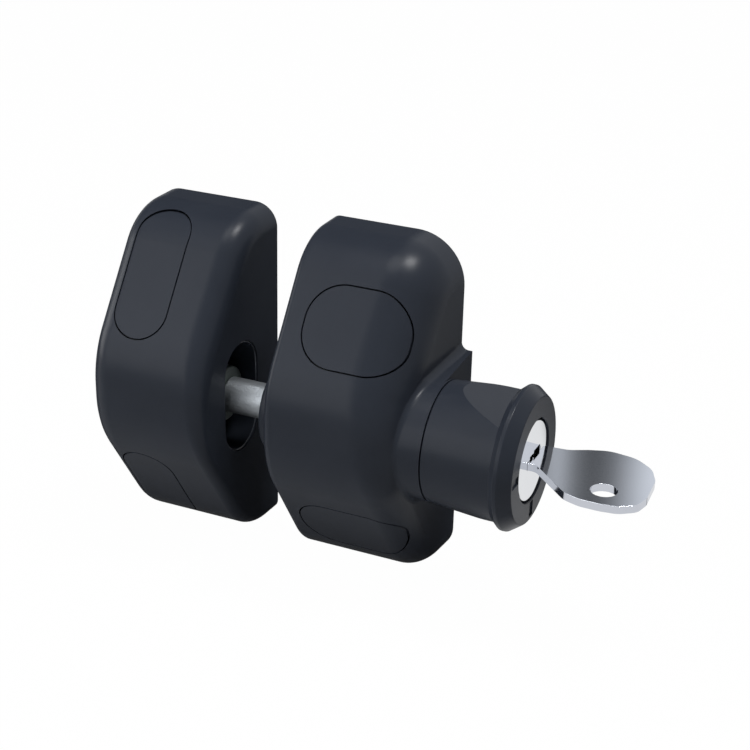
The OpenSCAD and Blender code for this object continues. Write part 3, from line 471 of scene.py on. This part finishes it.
def root_fillet(half, path, radius):
    """The moulded fillet where a form grows out of the side, rolled along its outline as a ball would roll.

    The path has each point of the outline with its outward direction. The ball's middle is found on a form that is
    larger by its radius, and the fillet sinks a little into both surfaces that it joins.
    """
    grown_form, form = housing_form(half, -radius, 1), housing_form(half, 0, 1)
    ball_surface, side = tree_of(grown_form), tree_of(form)
    from_right, overlap, depth = 0.06, 1.04, 1.3
    rings = []
    for (y, z), (out_y, out_z) in path:
        start = Vector((from_right, (y + radius * out_y) * MM, (z + radius * out_z) * MM))
        ball = ball_surface.ray_cast(start, Vector((-1, 0, 0)))[0]
        to_form = Vector((0, -out_y, -out_z))
        to_side = (side.find_nearest(ball)[0] - ball).normalized()
        arc = [to_form.slerp(to_side, t) * radius * MM for t in np.linspace(0, 1, 9)]
        root = (to_form + to_side) / (1 + to_form.dot(to_side)) * radius * MM * depth
        ring = [ball + arc[0] * overlap] + [ball + v for v in arc] + [ball + arc[-1] * overlap, ball + root]
        rings.append([tuple(p / MM) for p in ring])
    for piece in (grown_form, form):
        bpy.data.objects.remove(piece)
    return skin_of("fillet", rings)


def smooth(piece, material, edge=0.0, angle=32):
    """Rounds the sharp edges a little, shades the curves smoothly and gives the material."""
    if edge:
        soft = piece.modifiers.new("edge", "BEVEL")
        soft.width = edge * MM
        soft.segments = 2
        soft.limit_method = "ANGLE"
        soft.angle_limit = math.radians(angle)
        soft.use_clamp_overlap = True
    piece.data.shade_smooth()
    piece.data.set_sharp_from_angle(angle=math.radians(angle))
    even = piece.modifiers.new("even", "WEIGHTED_NORMAL")
    even.keep_sharp = True
    applied(piece)
    piece.data.materials.clear()
    piece.data.materials.append(material)
    return piece


def settle(piece, name, body, node):
    """Names a piece, lets it ride on its body and stand for a CAD node."""
    piece.name = piece.data.name = name
    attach(piece, body)
    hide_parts(node)


# Bosses run from the front wall to the back plate's inner face.
boss_front, boss_back = -40, -2.45
fixing_boss, fixing_hole, screw_boss = 4.4, 2.5, 3.1
latch_fixings = [(1.3 + side * 7.5, 2 + end * 27.5) for side in (-1, 1) for end in (-1, 1)]
latch_screws = [(x, z) for z in (41.1, -36.7) for x in (-11, 5.5)]

nose_radius, nose_end = 12.4, -24.2
nose = eased([(0, nose_end), (nose_radius, nose_end), (nose_radius, -15), (0, -15)], [0, 1.2, 0, 0])
collar_radius, collar_end = 15.8, 22.2
collar = eased([(0, 0), (collar_radius, 0), (collar_radius, collar_end), (0, collar_end)], [0, 0, 0.25, 0])

# The collar's foot runs back to the gate and flares on the way, from one half height to the other.
foot_length, foot_flare = 20.4, 1.5
foot_front, foot_back = 15.7, 17.2
foot_left, foot_right = 9.8, 21.8
foot = skin_of("foot", [[(x, -foot_length, foot_front), (x, 0, foot_back), (x, 0, -foot_back),
                         (x, -foot_length, -foot_front)] for x in (foot_left, foot_right)])
flare = math.atan2(foot_flare, foot_length)
foot_side = [((y, foot_back + y * foot_flare / foot_length), (-math.sin(flare), math.cos(flare)))
             for y in np.linspace(-0.02, -20.0, 12)]
foot_below = [((y, -z), (out_y, -out_z)) for (y, z), (out_y, out_z) in reversed(foot_side)]
bow = [((PIN_Y - collar_radius * math.sin(t), collar_radius * math.cos(t)), (-math.sin(t), math.cos(t)))
       for t in np.linspace(0.1, math.pi - 0.1, 61)]
fillet = root_fillet(LATCH, foot_side + bow + foot_below, 2.0)
shaped(fillet, "DIFFERENCE", block((5, 0, -30), (40, 5, 30)))

# The lock bolt shoots into this socket in the sleeve.
lock_bolt_socket = block((15.25, -22.4, -14.3), (17.55, -15.6, -10.3))
latch_shell = housing(
    LATCH, LATCH_CAPS,
    outside=[turned("nose", nose, 128), turned("collar", collar, 160), foot, fillet],
    inside=[rod("collar_sleeve", collar_radius, 11.4, collar_end, 160), rod("nose_seat", 9.4, -22.2, -16.1)],
    bosses=[bar_y(x, z, fixing_boss, boss_front, boss_back) for x, z in latch_fixings]
    + [bar_y(x, z, screw_boss, boss_front, boss_back) for x, z in latch_screws],
    bores=[turned("stem_bore", [(0, 10), (12.3, 10), (12.3, 12), (13.35, 12), (13.35, 23.2), (0, 23.2)]),
           turned("pin_bore", [(0, -25.2), (5.0, -25.2), (5.0, -22.2), (6.9, -22.2), (6.9, -2.2), (0, -2.2)]),
           rod("bush_seat", 8.55, -16.1, -12.1), lock_bolt_socket],
    fixings=[bar_y(x, z, fixing_hole, -24, 1) for x, z in latch_fixings],
    screws=latch_screws)
smooth(latch_shell, nylon, 0.2)
settle(latch_shell, "latch_housing_shell", "latch", "latch_housing")

# Striker housing
# The hollow half that goes on the post, of the same moulded nylon. The pocket in its right side takes the bolt pin,
# and its fixing slots let the post's screws be set up or down.
STRIKER = Half(-70.3, -34.7, 6.6, 6.3, 2.8, math.tan(math.radians(2.2)))
STRIKER_X = -57.5
STRIKER_CAPS = [Cap("striker_upper_cap", True, STRIKER_X, 24.6, 14.9, 35.6, 7.44, 2),
                Cap("striker_lower_cap", False, STRIKER_X, 25.0, 14.9, 32.0, 7.44, 0)]
striker_screws = [(-43.3, 38.3), (-43.3, -34.3), (-64.7, 2.4)]
slot_heights = [2.35 - 31, 2.35 + 31]
pocket_half_width, pocket_half_height, pocket_floor = 8.3, 15.55, -43.43


def stadium(half_y, half_z):
    """A tall rounded slot about the pin's axis, as points in the YZ plane."""
    return [(PIN_Y + u, v) for u, v in rounded_shape(2 * half_y, 2 * half_z, half_y - 0.01, 24)]


def slot_y(x, z, radius, length, start, end):
    """A tall rounded slot form along Y."""
    shape = rounded_shape(2 * radius, length, radius - 0.01, 20)
    return skin_of("slot", [[(x + u, y, z + v) for u, v in shape] for y in (start, end)])


pocket = stadium(pocket_half_width, pocket_half_height)
striker_shell = housing(
    STRIKER, STRIKER_CAPS, outside=[], inside=[],
    bosses=[slot_y(STRIKER_X, z, fixing_boss, 15.8, boss_front, boss_back) for z in slot_heights]
    + [bar_y(x, z, screw_boss, boss_front, boss_back) for x, z in striker_screws]
    + [block((-51.72, boss_front, -13), (-49.72, boss_back, 13))],
    bores=[skin_of("pocket", [[(x, y, z) for y, z in pocket] for x in (pocket_floor, -30)])],
    fixings=[slot_y(STRIKER_X, z, fixing_hole, 12, -24, 1) for z in slot_heights],
    screws=striker_screws)
smooth(striker_shell, nylon, 0.2)
settle(striker_shell, "striker_housing_shell", "striker", "striker_housing")

# Screw caps
# Thin covers of the same nylon that snap over the screw wells by two legs each. Their tops carry on the form of the
# housing.
leg = [(2.5, 0.6), (-2.5, 0.6), (-2.5, -0.6), (2.5, -0.6)]
for half, caps, leg_inset in ((LATCH, LATCH_CAPS, 4), (STRIKER, STRIKER_CAPS, 9)):
    for cap in caps:
        cover = cap_prism(cap, 0, -12, 6)
        shaped(cover, "INTERSECT", housing_form(half))
        shaped(cover, "DIFFERENCE", housing_form(half, 1.8, 1))
        for side in (-1, 1):
            leg_place = cap.along + side * (cap.height / 2 - leg_inset)
            shaped(cover, "UNION", on_slope(cap.upper, cap.x, leg_place, leg, -6.3, -1.2))
        if cap.name == "striker_upper_cap":
            # This long cap bends down a little where it runs over the brow.
            bend_start, bend_length, bend_depth = 30, 12, 0.7
            slope = (corners[1] - corners[2]) / np.linalg.norm(corners[1] - corners[2])
            for v in cover.data.vertices:
                up_slope = (np.array(v.co)[1:] / MM - corners[2]) @ slope
                sunk = bend_depth * MM * max(0, (up_slope - bend_start) / bend_length) ** 2
                v.co += Vector((0, slope[1] * sunk, -slope[0] * sunk))
        smooth(cover, nylon, 0.2)
        settle(cover, cap.name + "_cover", cap.name + "_body", cap.name)

# Pocket lining
# A tall nylon cup pressed into the side of the striker, with a hole in its floor for the magnet holder. Its rounded
# rim lies a little below the leaning face.
lining = []
# Each ring has its inset from the pocket, 1 if it leans with the side face, and its x or its distance off that face.
for inset, leaning, x in ((0.1, 0, -46.03), (0.1, 1, -0.5), (0.13, 1, -0.36), (0.2, 1, -0.28), (0.3, 1, -0.25),
                          (0.4, 1, -0.28), (0.47, 1, -0.36), (0.5, 1, -0.5), (0.5, 0, -44.83)):
    ring = stadium(pocket_half_width - inset, pocket_half_height - inset)
    lining.append([(x + leaning * (STRIKER.right + STRIKER.side_slope * y), y, z) for y, z in ring])
liner = shaped(skin_of("liner", lining), "DIFFERENCE", rod("hole", 7.55, -50, -40))
smooth(liner, nylon)
# The rim is smoother than the rest, and its colour is painted paler than the nylon as a painted highlight, a fine
# pale line.
rim = finish_of("polished_nylon_rim", ("#4a4e56", "#50545c"), metallic=0.0,
                roughness=0.22, spread=0.03, grain_mm=0.35)
liner.data.materials.append(rim)
# The faces near the rim take the paler colour, a painted highlight.
for face in liner.data.polygons:
    x, y, z = face.center / MM
    face.material_index = int(x - STRIKER.side_slope * y > STRIKER.right - 0.8)
settle(liner, "pocket_lining", "striker", "pocket_liner")

# Magnet holder
# A round cup of coated steel that holds the magnet. Its flange sits behind the lining's floor, and its closed face
# comes through the hole to just short of the pin's tip.
# The thin coating is dull and grey-green, and hides the metal's shine.
holder_grey = finish_of("coated_holder_steel", ("#525a58", "#4b5250"), metallic=0.1,
                        roughness=0.55, spread=0.08, grain_mm=0.4, grain_depth=0.006)
bore, wall_radius, flange = 6.2, 7.5, 9.6
cup = eased([(bore, -47.58), (flange, -47.58), (flange, -46.08), (wall_radius, -46.08), (wall_radius, -39.23),
             (0, -39.23), (0, -40.13), (bore, -40.13)], [0, 0.2, 0.2, 0, 0.8, 0, 0, 0])
holder = turned("holder", cup, 96, True)
smooth(holder, holder_grey)
settle(holder, "magnet_holder", "striker", "magnet_cup")

# Bolt pin
# A 9.5 mm bar of zinc-plated steel, with a rounded tip and a turned head that the catch ring pulls.
# The plating is satin and shows soft pale bands, broken up by a fine pitting that is drawn 0.45 mm wide to show.
steel = finish_of("zinc_plated_steel", ("#aeb3b8", "#9a9fa4"), metallic=1.0,
                  roughness=0.46, spread=0.14, grain_mm=0.45, grain_depth=0.09)
pin_radius, head_radius = 4.75, 8.8
pin_tip, head_front, head_back = -38.93, -2.95, -0.95
pin = turned("pin", eased([(0, pin_tip), (pin_radius, pin_tip), (pin_radius, head_front), (head_radius, head_front),
                           (head_radius, head_back), (0, head_back)], [0, 0.6, 0.2, 0.3, 0.3, 0]))
smooth(pin, steel)
settle(pin, "bolt_bar", "bolt", "bolt_pin")

# Knob grip
# The flared nylon handle with a flat for the thumb and one for the finger, a flange, and two marks on its face
# that show which way the key turns. Three screws hold it on the stem.
grip_start, flare_end, grip_face = 22.5, 40.85, 46.45
profile = [(0, grip_start), (15.8, grip_start), (17.27, flare_end), (18.56, 42.35), (18.56, 43.3), (16.3, grip_face),
           (0, grip_face)]
grip = turned("grip", eased(profile, [0, 0.35, 0.5, 0.35, 0.5, 0.6, 0], 9), 192)
barrel_hole = [(0, 25.55), (10.8, 25.55), (10.8, 46.2), (11.1, 46.6), (0, 46.6)]
shaped(grip, "DIFFERENCE", turned("hole", barrel_hole, 128), rod("recess", 14.55, 21.5, 25.55))
# The flats lean in from the collar to the flange.
flat_at_flange, flat_at_collar = 12.81, 17.65
for side in (1, -1):
    wedge = [(flare_end, flat_at_flange), (flare_end, 30), (21.5, 30), (21.5, flat_at_collar)]
    shaped(grip, "DIFFERENCE", skin_of("flat", [[(x, y, z * side) for x, z in wedge] for y in (-49, 11)]))
lower_mark = block((46.05, -20.2, -15.4), (48, -17.8, -11.2))
front_mark = block((46.05, -34.4, -1.2), (48, -30.2, 1.2))
shaped(grip, "DIFFERENCE", lower_mark, front_mark)
screw_ring = [(PIN_Y + 13 * math.sin(t), -13 * math.cos(t)) for t in np.radians((45, 165, 285))]
for place in screw_ring:
    shaped(grip, "DIFFERENCE", rod("drill", 0.7, 23.5, 32.5, 24, place))
smooth(grip, nylon, 0.2, 16)
settle(grip, "grip_handle", "knob", "knob_grip")

# Lock plug
# Turned from brass and plated with polished nickel, with the keyway and five wafer slots milled through it. A wider
# face seats it in the barrel.
# The plating on the face is as bright as a mirror, with hardly any haze.
nickel = finish_of("polished_nickel", ("#eceef0", "#e4e6ea"), metallic=1.0,
                   roughness=0.05, spread=0.02, grain_mm=0.4)
plug_radius, face_radius = 7.5, 10.3
plug_end, face_back, plug_face = 18.95, 44.4, 46.05
profile = [(0, plug_end), (plug_radius, plug_end), (plug_radius, face_back), (face_radius, face_back),
           (face_radius, plug_face), (0, plug_face)]
plug = turned("plug", eased(profile, [0, 0.3, 0, 0.2, 0.25, 0]), 128)
wafer_pitch, slot_width = 3, 1.2
wafer_slots = [26.45 + wafer_pitch * i for i in range(5)]
keyway = block((23.55, -22.95, -1.15), (48, -15.05, 1.15))
cam_screw_hole = rod("hole", 0.95, 17, 22.55, 24)
slots = [block((x, -29, -2.4), (x + slot_width, -9, 2.4)) for x in wafer_slots]
keyway_steps = [block((38, -18.4, 0), (48, -13.9, 2.4)), block((38, -21.2, 0), (48, -18.9, 1.9))]
shaped(plug, "DIFFERENCE", keyway, cam_screw_hole, *slots, *keyway_steps)
smooth(plug, nickel, 0.12)
# Inside the keyway the brass is bare, and its colour is painted near black as painted shade for the deep slot.
oiled_brass = finish_of("oiled_brass", ("#1a1712", "#241f16"), metallic=0.6,
                        roughness=0.5, spread=0.05, grain_mm=0.3)
plug.data.materials.append(oiled_brass)
# Faces inside the keyway take the painted shade.
for face in plug.data.polygons:
    x, y, z = face.center / MM
    face.material_index = int(x < 45.8 and math.hypot(y - PIN_Y, z) < 7.4)
settle(plug, "plug_with_bright_face", "plug", "lock_plug")

# Key
# Stamped from 2 mm nickel silver and polished, with a rounded bow, a ring hole and a grooved blade. The blade lies in
# the plug, where its notches set the wafers.
# Nickel silver is a little bluer and softer in its shine than the plug's plating.
key_metal = finish_of("polished_nickel_silver", ("#d3d6de", "#c9cdd6"), metallic=1.0,
                      roughness=0.08, spread=0.02, grain_mm=0.5, patch_mm=20.0)
# Each corner as x from the plug's face, y from the pin's line, and radius.
key_shape = [(-22.2, -1, 0.3), (-20.6, -3.8, 0.3), (2.2, -3.8, 2), (12.7, -14.1, 6), (17, -15.6, 8), (22, -15.7, 8),
             (26.5, -15.1, 5), (30.4, -12.2, 4), (31.3, -8, 3.5), (30.7, 1.3, 5), (28.4, 6.8, 8), (23.2, 10.8, 8),
             (16, 11.8, 8), (11.2, 10, 6), (6.8, 7.7, 6), (0.3, 7.1, 0.4), (0.3, 3.8, 0.2), (-20.6, 3.8, 0.3),
             (-22.2, 1, 0.3)]
key_points = []
for i, (x, y, radius) in enumerate(key_shape):
    # A corner takes at most its share of the sides next to it.
    corner = np.array((x, y))
    a = np.array(key_shape[i - 1][:2]) - corner
    b = np.array(key_shape[(i + 1) % len(key_shape)][:2]) - corner
    length_a, length_b = np.linalg.norm(a), np.linalg.norm(b)
    a, b = a / length_a, b / length_b
    cut = min(radius / math.tan(math.acos(np.clip(a @ b, -1, 1)) / 2), 0.45 * min(length_a, length_b))
    key_points += [(1 - t) ** 2 * (corner + a * cut) + 2 * t * (1 - t) * corner + t * t * (corner + b * cut)
                   for t in np.linspace(0, 1, 9)]
key = skin_of("key", [[(plug_face + x, PIN_Y + y, z) for x, y in key_points] for z in (-1, 1)])
ring_radius, ring_x, ring_y = 3.3, 67.05, -27.8
ring_hole = skin_of("ring", [[(ring_x + ring_radius * math.cos(t), ring_y + ring_radius * math.sin(t), z)
                              for t in circle_of(64)] for z in (-3, 3)])
blade_groove = block((22.85, -19.2, 0.4), (46.5, -17.0, 3))
shaped(key, "DIFFERENCE", ring_hole, blade_groove)
for x, depth in zip(wafer_slots, (0.6, 1.4, 0.9, 1.7, 0.8)):
    middle, blade_edge = x + slot_width / 2, -22.87
    notch = [(middle, blade_edge + depth), (middle - depth - 1, blade_edge - 1), (middle + depth + 1, blade_edge - 1)]
    shaped(key, "DIFFERENCE", skin_of("notch", [[(u, v, z) for u, v in notch] for z in (-3, 3)]))
smooth(key, key_metal, 0.04)
settle(key, "stamped_key", "key_body", "key")

# Screws
# Zinc-plated steel: countersunk ones with a cross recess hold the back plates on, and three small ones hold the grip
# on the stem. Each kind is one form, repeated.


def blank(name, points=()):
    """An object with only points."""
    mesh = bpy.data.meshes.new(name)
    mesh.from_pydata([tuple(c * MM for c in p) for p in points], [], [])
    piece = bpy.data.objects.new(name, mesh)
    bpy.context.scene.collection.objects.link(piece)
    return piece


def grown(piece, tree, values):
    """The piece with a node tree's result as its plain mesh."""
    change = piece.modifiers.new("grow", "NODES")
    change.node_group = tree
    for item in tree.interface.items_tree:
        if item.name in values:
            change[item.identifier] = values[item.name]
    return applied(piece)


def new_tree(name, **inputs):
    """A node tree with a geometry input and output, and further named inputs."""
    tree = bpy.data.node_groups.new(name, "GeometryNodeTree")
    tree.interface.new_socket("Geometry", in_out="INPUT", socket_type="NodeSocketGeometry")
    tree.interface.new_socket("Geometry", in_out="OUTPUT", socket_type="NodeSocketGeometry")
    for label, kind in inputs.items():
        tree.interface.new_socket(label, in_out="INPUT", socket_type="NodeSocket" + kind)
    return tree, add(tree, "NodeGroupInput").outputs


def end_tree(tree, geometry, material):
    """Ends a tree in plain geometry with its material."""
    real = add(tree, "GeometryNodeRealizeInstances", links={0: geometry})
    coated = add(tree, "GeometryNodeSetMaterial", links={0: real.outputs[0], "Material": material})
    add(tree, "NodeGroupOutput", links={0: coated.outputs[0]})


copies, given = new_tree("copies_at_points", Piece="Object", Material="Material")
form = add(copies, "GeometryNodeObjectInfo", {"transform_space": "ORIGINAL"}, links={"Object": given["Piece"]})
laid = add(copies, "GeometryNodeInstanceOnPoints",
           links={"Points": given["Geometry"], "Instance": form.outputs["Geometry"]})
end_tree(copies, laid.outputs[0], given["Material"])


def repeat(name, pattern, points, material, body, node, edge=0.0):
    """Copies of a pattern at points, as one piece."""
    smooth(pattern, material, edge)
    piece = grown(blank(name, points), copies, {"Piece": pattern, "Material": material})
    bpy.data.objects.remove(pattern)
    settle(piece, name, body, node)


def plate_screw():
    """A countersunk screw along Y with a cross recess, its head a little below the back plate's face."""
    head, shank, root, sunk = 2.4, 1.1, 0.85, 0.2
    profile = [(0, 0), (head, 0), (head, 0.4), (shank, 1.7)]
    for k in range(9):
        profile += [(shank, 2.0 + 0.68 * k), (root, 2.34 + 0.68 * k)]
    profile += [(shank, 8.0), (0, 9)]
    rings = [[(max(r, 1e-4) * math.cos(t), -sunk - depth, max(r, 1e-4) * math.sin(t)) for t in circle_of(32)]
             for r, depth in profile]
    cross = [block((-1.5, -1.3, -0.35), (1.5, 0.5, 0.35)), block((-0.35, -1.3, -1.5), (0.35, 0.5, 1.5))]
    return shaped(skin_of("screw", rings), "DIFFERENCE", *cross)


repeat("latch_plate_fixings", plate_screw(), [(x, 0, z) for x, z in latch_screws], steel, "latch",
       "latch_plate_screws")
repeat("striker_plate_fixings", plate_screw(), [(x, 0, z) for x, z in striker_screws], steel, "striker",
       "striker_plate_screws")
stem_screw = turned("screw", [(0, 22.55), (1.25, 22.55), (0.65, 23.2), (0.65, 30.45), (0, 31.1)], 24, axis=(0, 0))
shaped(stem_screw, "DIFFERENCE", block((22.0, -0.8, -0.18), (23.1, 0.8, 0.18)),
       block((22.0, -0.18, -0.8), (23.1, 0.18, 0.8)))
repeat("grip_fixings", stem_screw, [(0, y, z) for y, z in screw_ring], steel, "knob", "stem_screws")

# Wafers
# Five thin brass plates that lie across the plug, each with a window for the key.
# Stamped brass is yellow and half bright, with fine rolling marks.
brass = finish_of("stamped_brass", ("#c0a060", "#ad8f55"), metallic=1.0,
                  roughness=0.3, spread=0.06, grain_mm=0.3, grain_depth=0.004)
wafer = shaped(block((0, -25.8, -2.3), (1, -12.2, 2.3)), "DIFFERENCE", block((-1, -23.2, -1.4), (2, -14.8, 1.4)))
wafer_play = 0.1
wafer_places = [(x + wafer_play, 0, 0) for x in wafer_slots]
repeat("wafer_stack", wafer, wafer_places, brass, "plug", "lock_wafers", 0.08)

# Springs
# Two compression springs of round steel wire about the pin's line: a wide one that draws the knob back in, and a
# narrow one that pushes on the bolt pin's head.
coil, given = new_tree("wound_coil", Radius="Float", Length="Float", Wire="Float", Turns="Float", Start="Float",
                       Material="Material")
line = add(coil, "GeometryNodeCurvePrimitiveLine")
dense = add(coil, "GeometryNodeResampleCurve", inputs={"Count": 260}, links={"Curve": line.outputs[0]})
progress = add(coil, "GeometryNodeSplineParameter")
# Half a turn lies flat at each end, so the wire makes one turn more than it climbs.
all_turns = add(coil, "ShaderNodeMath", {"operation": "ADD"}, {1: 1.0}, {0: given["Turns"]})
turned_by = add(coil, "ShaderNodeMath", {"operation": "MULTIPLY"},
                links={0: progress.outputs["Factor"], 1: all_turns.outputs[0]})
angle = add(coil, "ShaderNodeMath", {"operation": "MULTIPLY"}, {1: 2 * math.pi}, {0: turned_by.outputs[0]})
climb_end = add(coil, "ShaderNodeMath", {"operation": "ADD"}, {1: 0.5}, {0: given["Turns"]})
first_coil = add(coil, "ShaderNodeMath", {"operation": "MULTIPLY_ADD"}, {1: 0.5},
                 {0: given["Wire"], 2: given["Start"]})
spring_end = add(coil, "ShaderNodeMath", {"operation": "ADD"}, links={0: given["Start"], 1: given["Length"]})
last_coil = add(coil, "ShaderNodeMath", {"operation": "MULTIPLY_ADD"}, {1: -0.5},
                {0: given["Wire"], 2: spring_end.outputs[0]})
climb = add(coil, "ShaderNodeMapRange", inputs={"From Min": 0.5},
            links={"Value": turned_by.outputs[0], "From Max": climb_end.outputs[0],
                   "To Min": first_coil.outputs[0], "To Max": last_coil.outputs[0]})
sine = add(coil, "ShaderNodeMath", {"operation": "SINE"}, links={0: angle.outputs[0]})
cosine = add(coil, "ShaderNodeMath", {"operation": "COSINE"}, links={0: angle.outputs[0]})
sideways = add(coil, "ShaderNodeMath", {"operation": "MULTIPLY_ADD"}, {2: PIN_Y * MM},
               {0: given["Radius"], 1: sine.outputs[0]})
upwards = add(coil, "ShaderNodeMath", {"operation": "MULTIPLY"}, links={0: given["Radius"], 1: cosine.outputs[0]})
place = add(coil, "ShaderNodeCombineXYZ", links={0: climb.outputs[0], 1: sideways.outputs[0], 2: upwards.outputs[0]})
bent = add(coil, "GeometryNodeSetPosition", links={"Geometry": dense.outputs[0], "Position": place.outputs[0]})
wire_radius = add(coil, "ShaderNodeMath", {"operation": "MULTIPLY"}, {1: 0.5}, {0: given["Wire"]})
section = add(coil, "GeometryNodeCurvePrimitiveCircle", inputs={"Resolution": 14},
              links={"Radius": wire_radius.outputs[0]})
tube = add(coil, "GeometryNodeCurveToMesh", inputs={"Fill Caps": True},
           links={"Curve": bent.outputs[0], "Profile Curve": section.outputs[0]})
end_tree(coil, tube.outputs[0], given["Material"])
# Drawn wire is grey and half bright.
spring_wire = finish_of("spring_wire", ("#9a9ea5", "#868b93"), metallic=1.0,
                        roughness=0.3, spread=0.08, grain_mm=0.3, grain_depth=0.004)


def wound(name, body, node, radius, start, length, wire, turns):
    """A spring from start to start + length along the pin's line."""
    sizes = {"Radius": radius * MM, "Start": start * MM, "Length": length * MM, "Wire": wire * MM}
    spring = grown(blank(name), coil, {**sizes, "Turns": float(turns), "Material": spring_wire})
    smooth(spring, spring_wire)
    settle(spring, name, body, node)
    return spring


knob_coil = wound("knob_return_coil", "latch", "knob_spring", 12.35, -11.4, 22.75, 1.0, 5)
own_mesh(knob_coil)
wound("pin_return_coil", "bolt", "pin_spring", 6.65, -9.4, 6.45, 0.9, 3)

# Plates, bushes and lock parts with plain forms
# The back plates are moulded, the bushes sintered, the stem and lock body cast, and the rest turned or stamped. They
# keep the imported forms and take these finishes.
# Cast zinc alloy is pale grey and softly bright.
zinc = finish_of("die_cast_zinc", ("#b4b7bc", "#a4a7ad"), metallic=1.0,
                 roughness=0.38, spread=0.06, grain_mm=0.5, grain_depth=0.01)
# Sintered bronze is brown-yellow, and dull from its oil-filled pores.
bronze = finish_of("sintered_bronze", ("#a98a52", "#8f7546"), metallic=1.0,
                   roughness=0.45, spread=0.06, grain_mm=0.3, grain_depth=0.01)
# Rubber is almost black, without any gloss.
rubber = finish_of("wiper_rubber", ("#141516", "#1b1c1e"), metallic=0.0,
                   roughness=0.7, spread=0.05, grain_mm=0.4, grain_depth=0.01)
# The magnet's nickel plating is bright, but less smooth than the plug's.
magnet_skin = finish_of("plated_magnet", ("#d0d2d6", "#c6c9ce"), metallic=1.0,
                        roughness=0.2, spread=0.04, grain_mm=0.4, grain_depth=0.002)
looks = {"soft_black": nylon, "screw_steel": steel, "bush_bronze": bronze, "seal_rubber": rubber, "stem_alloy": zinc,
         "magnet_metal": magnet_skin}
for part in frame["record"]["subparts"]:
    piece = nodes[part["node"]]
    if part["material_slot"] in looks:
        piece.data.materials.clear()
        piece.data.materials.append(looks[part["material_slot"]])

bpy.context.scene.view_settings.view_transform = "Standard"
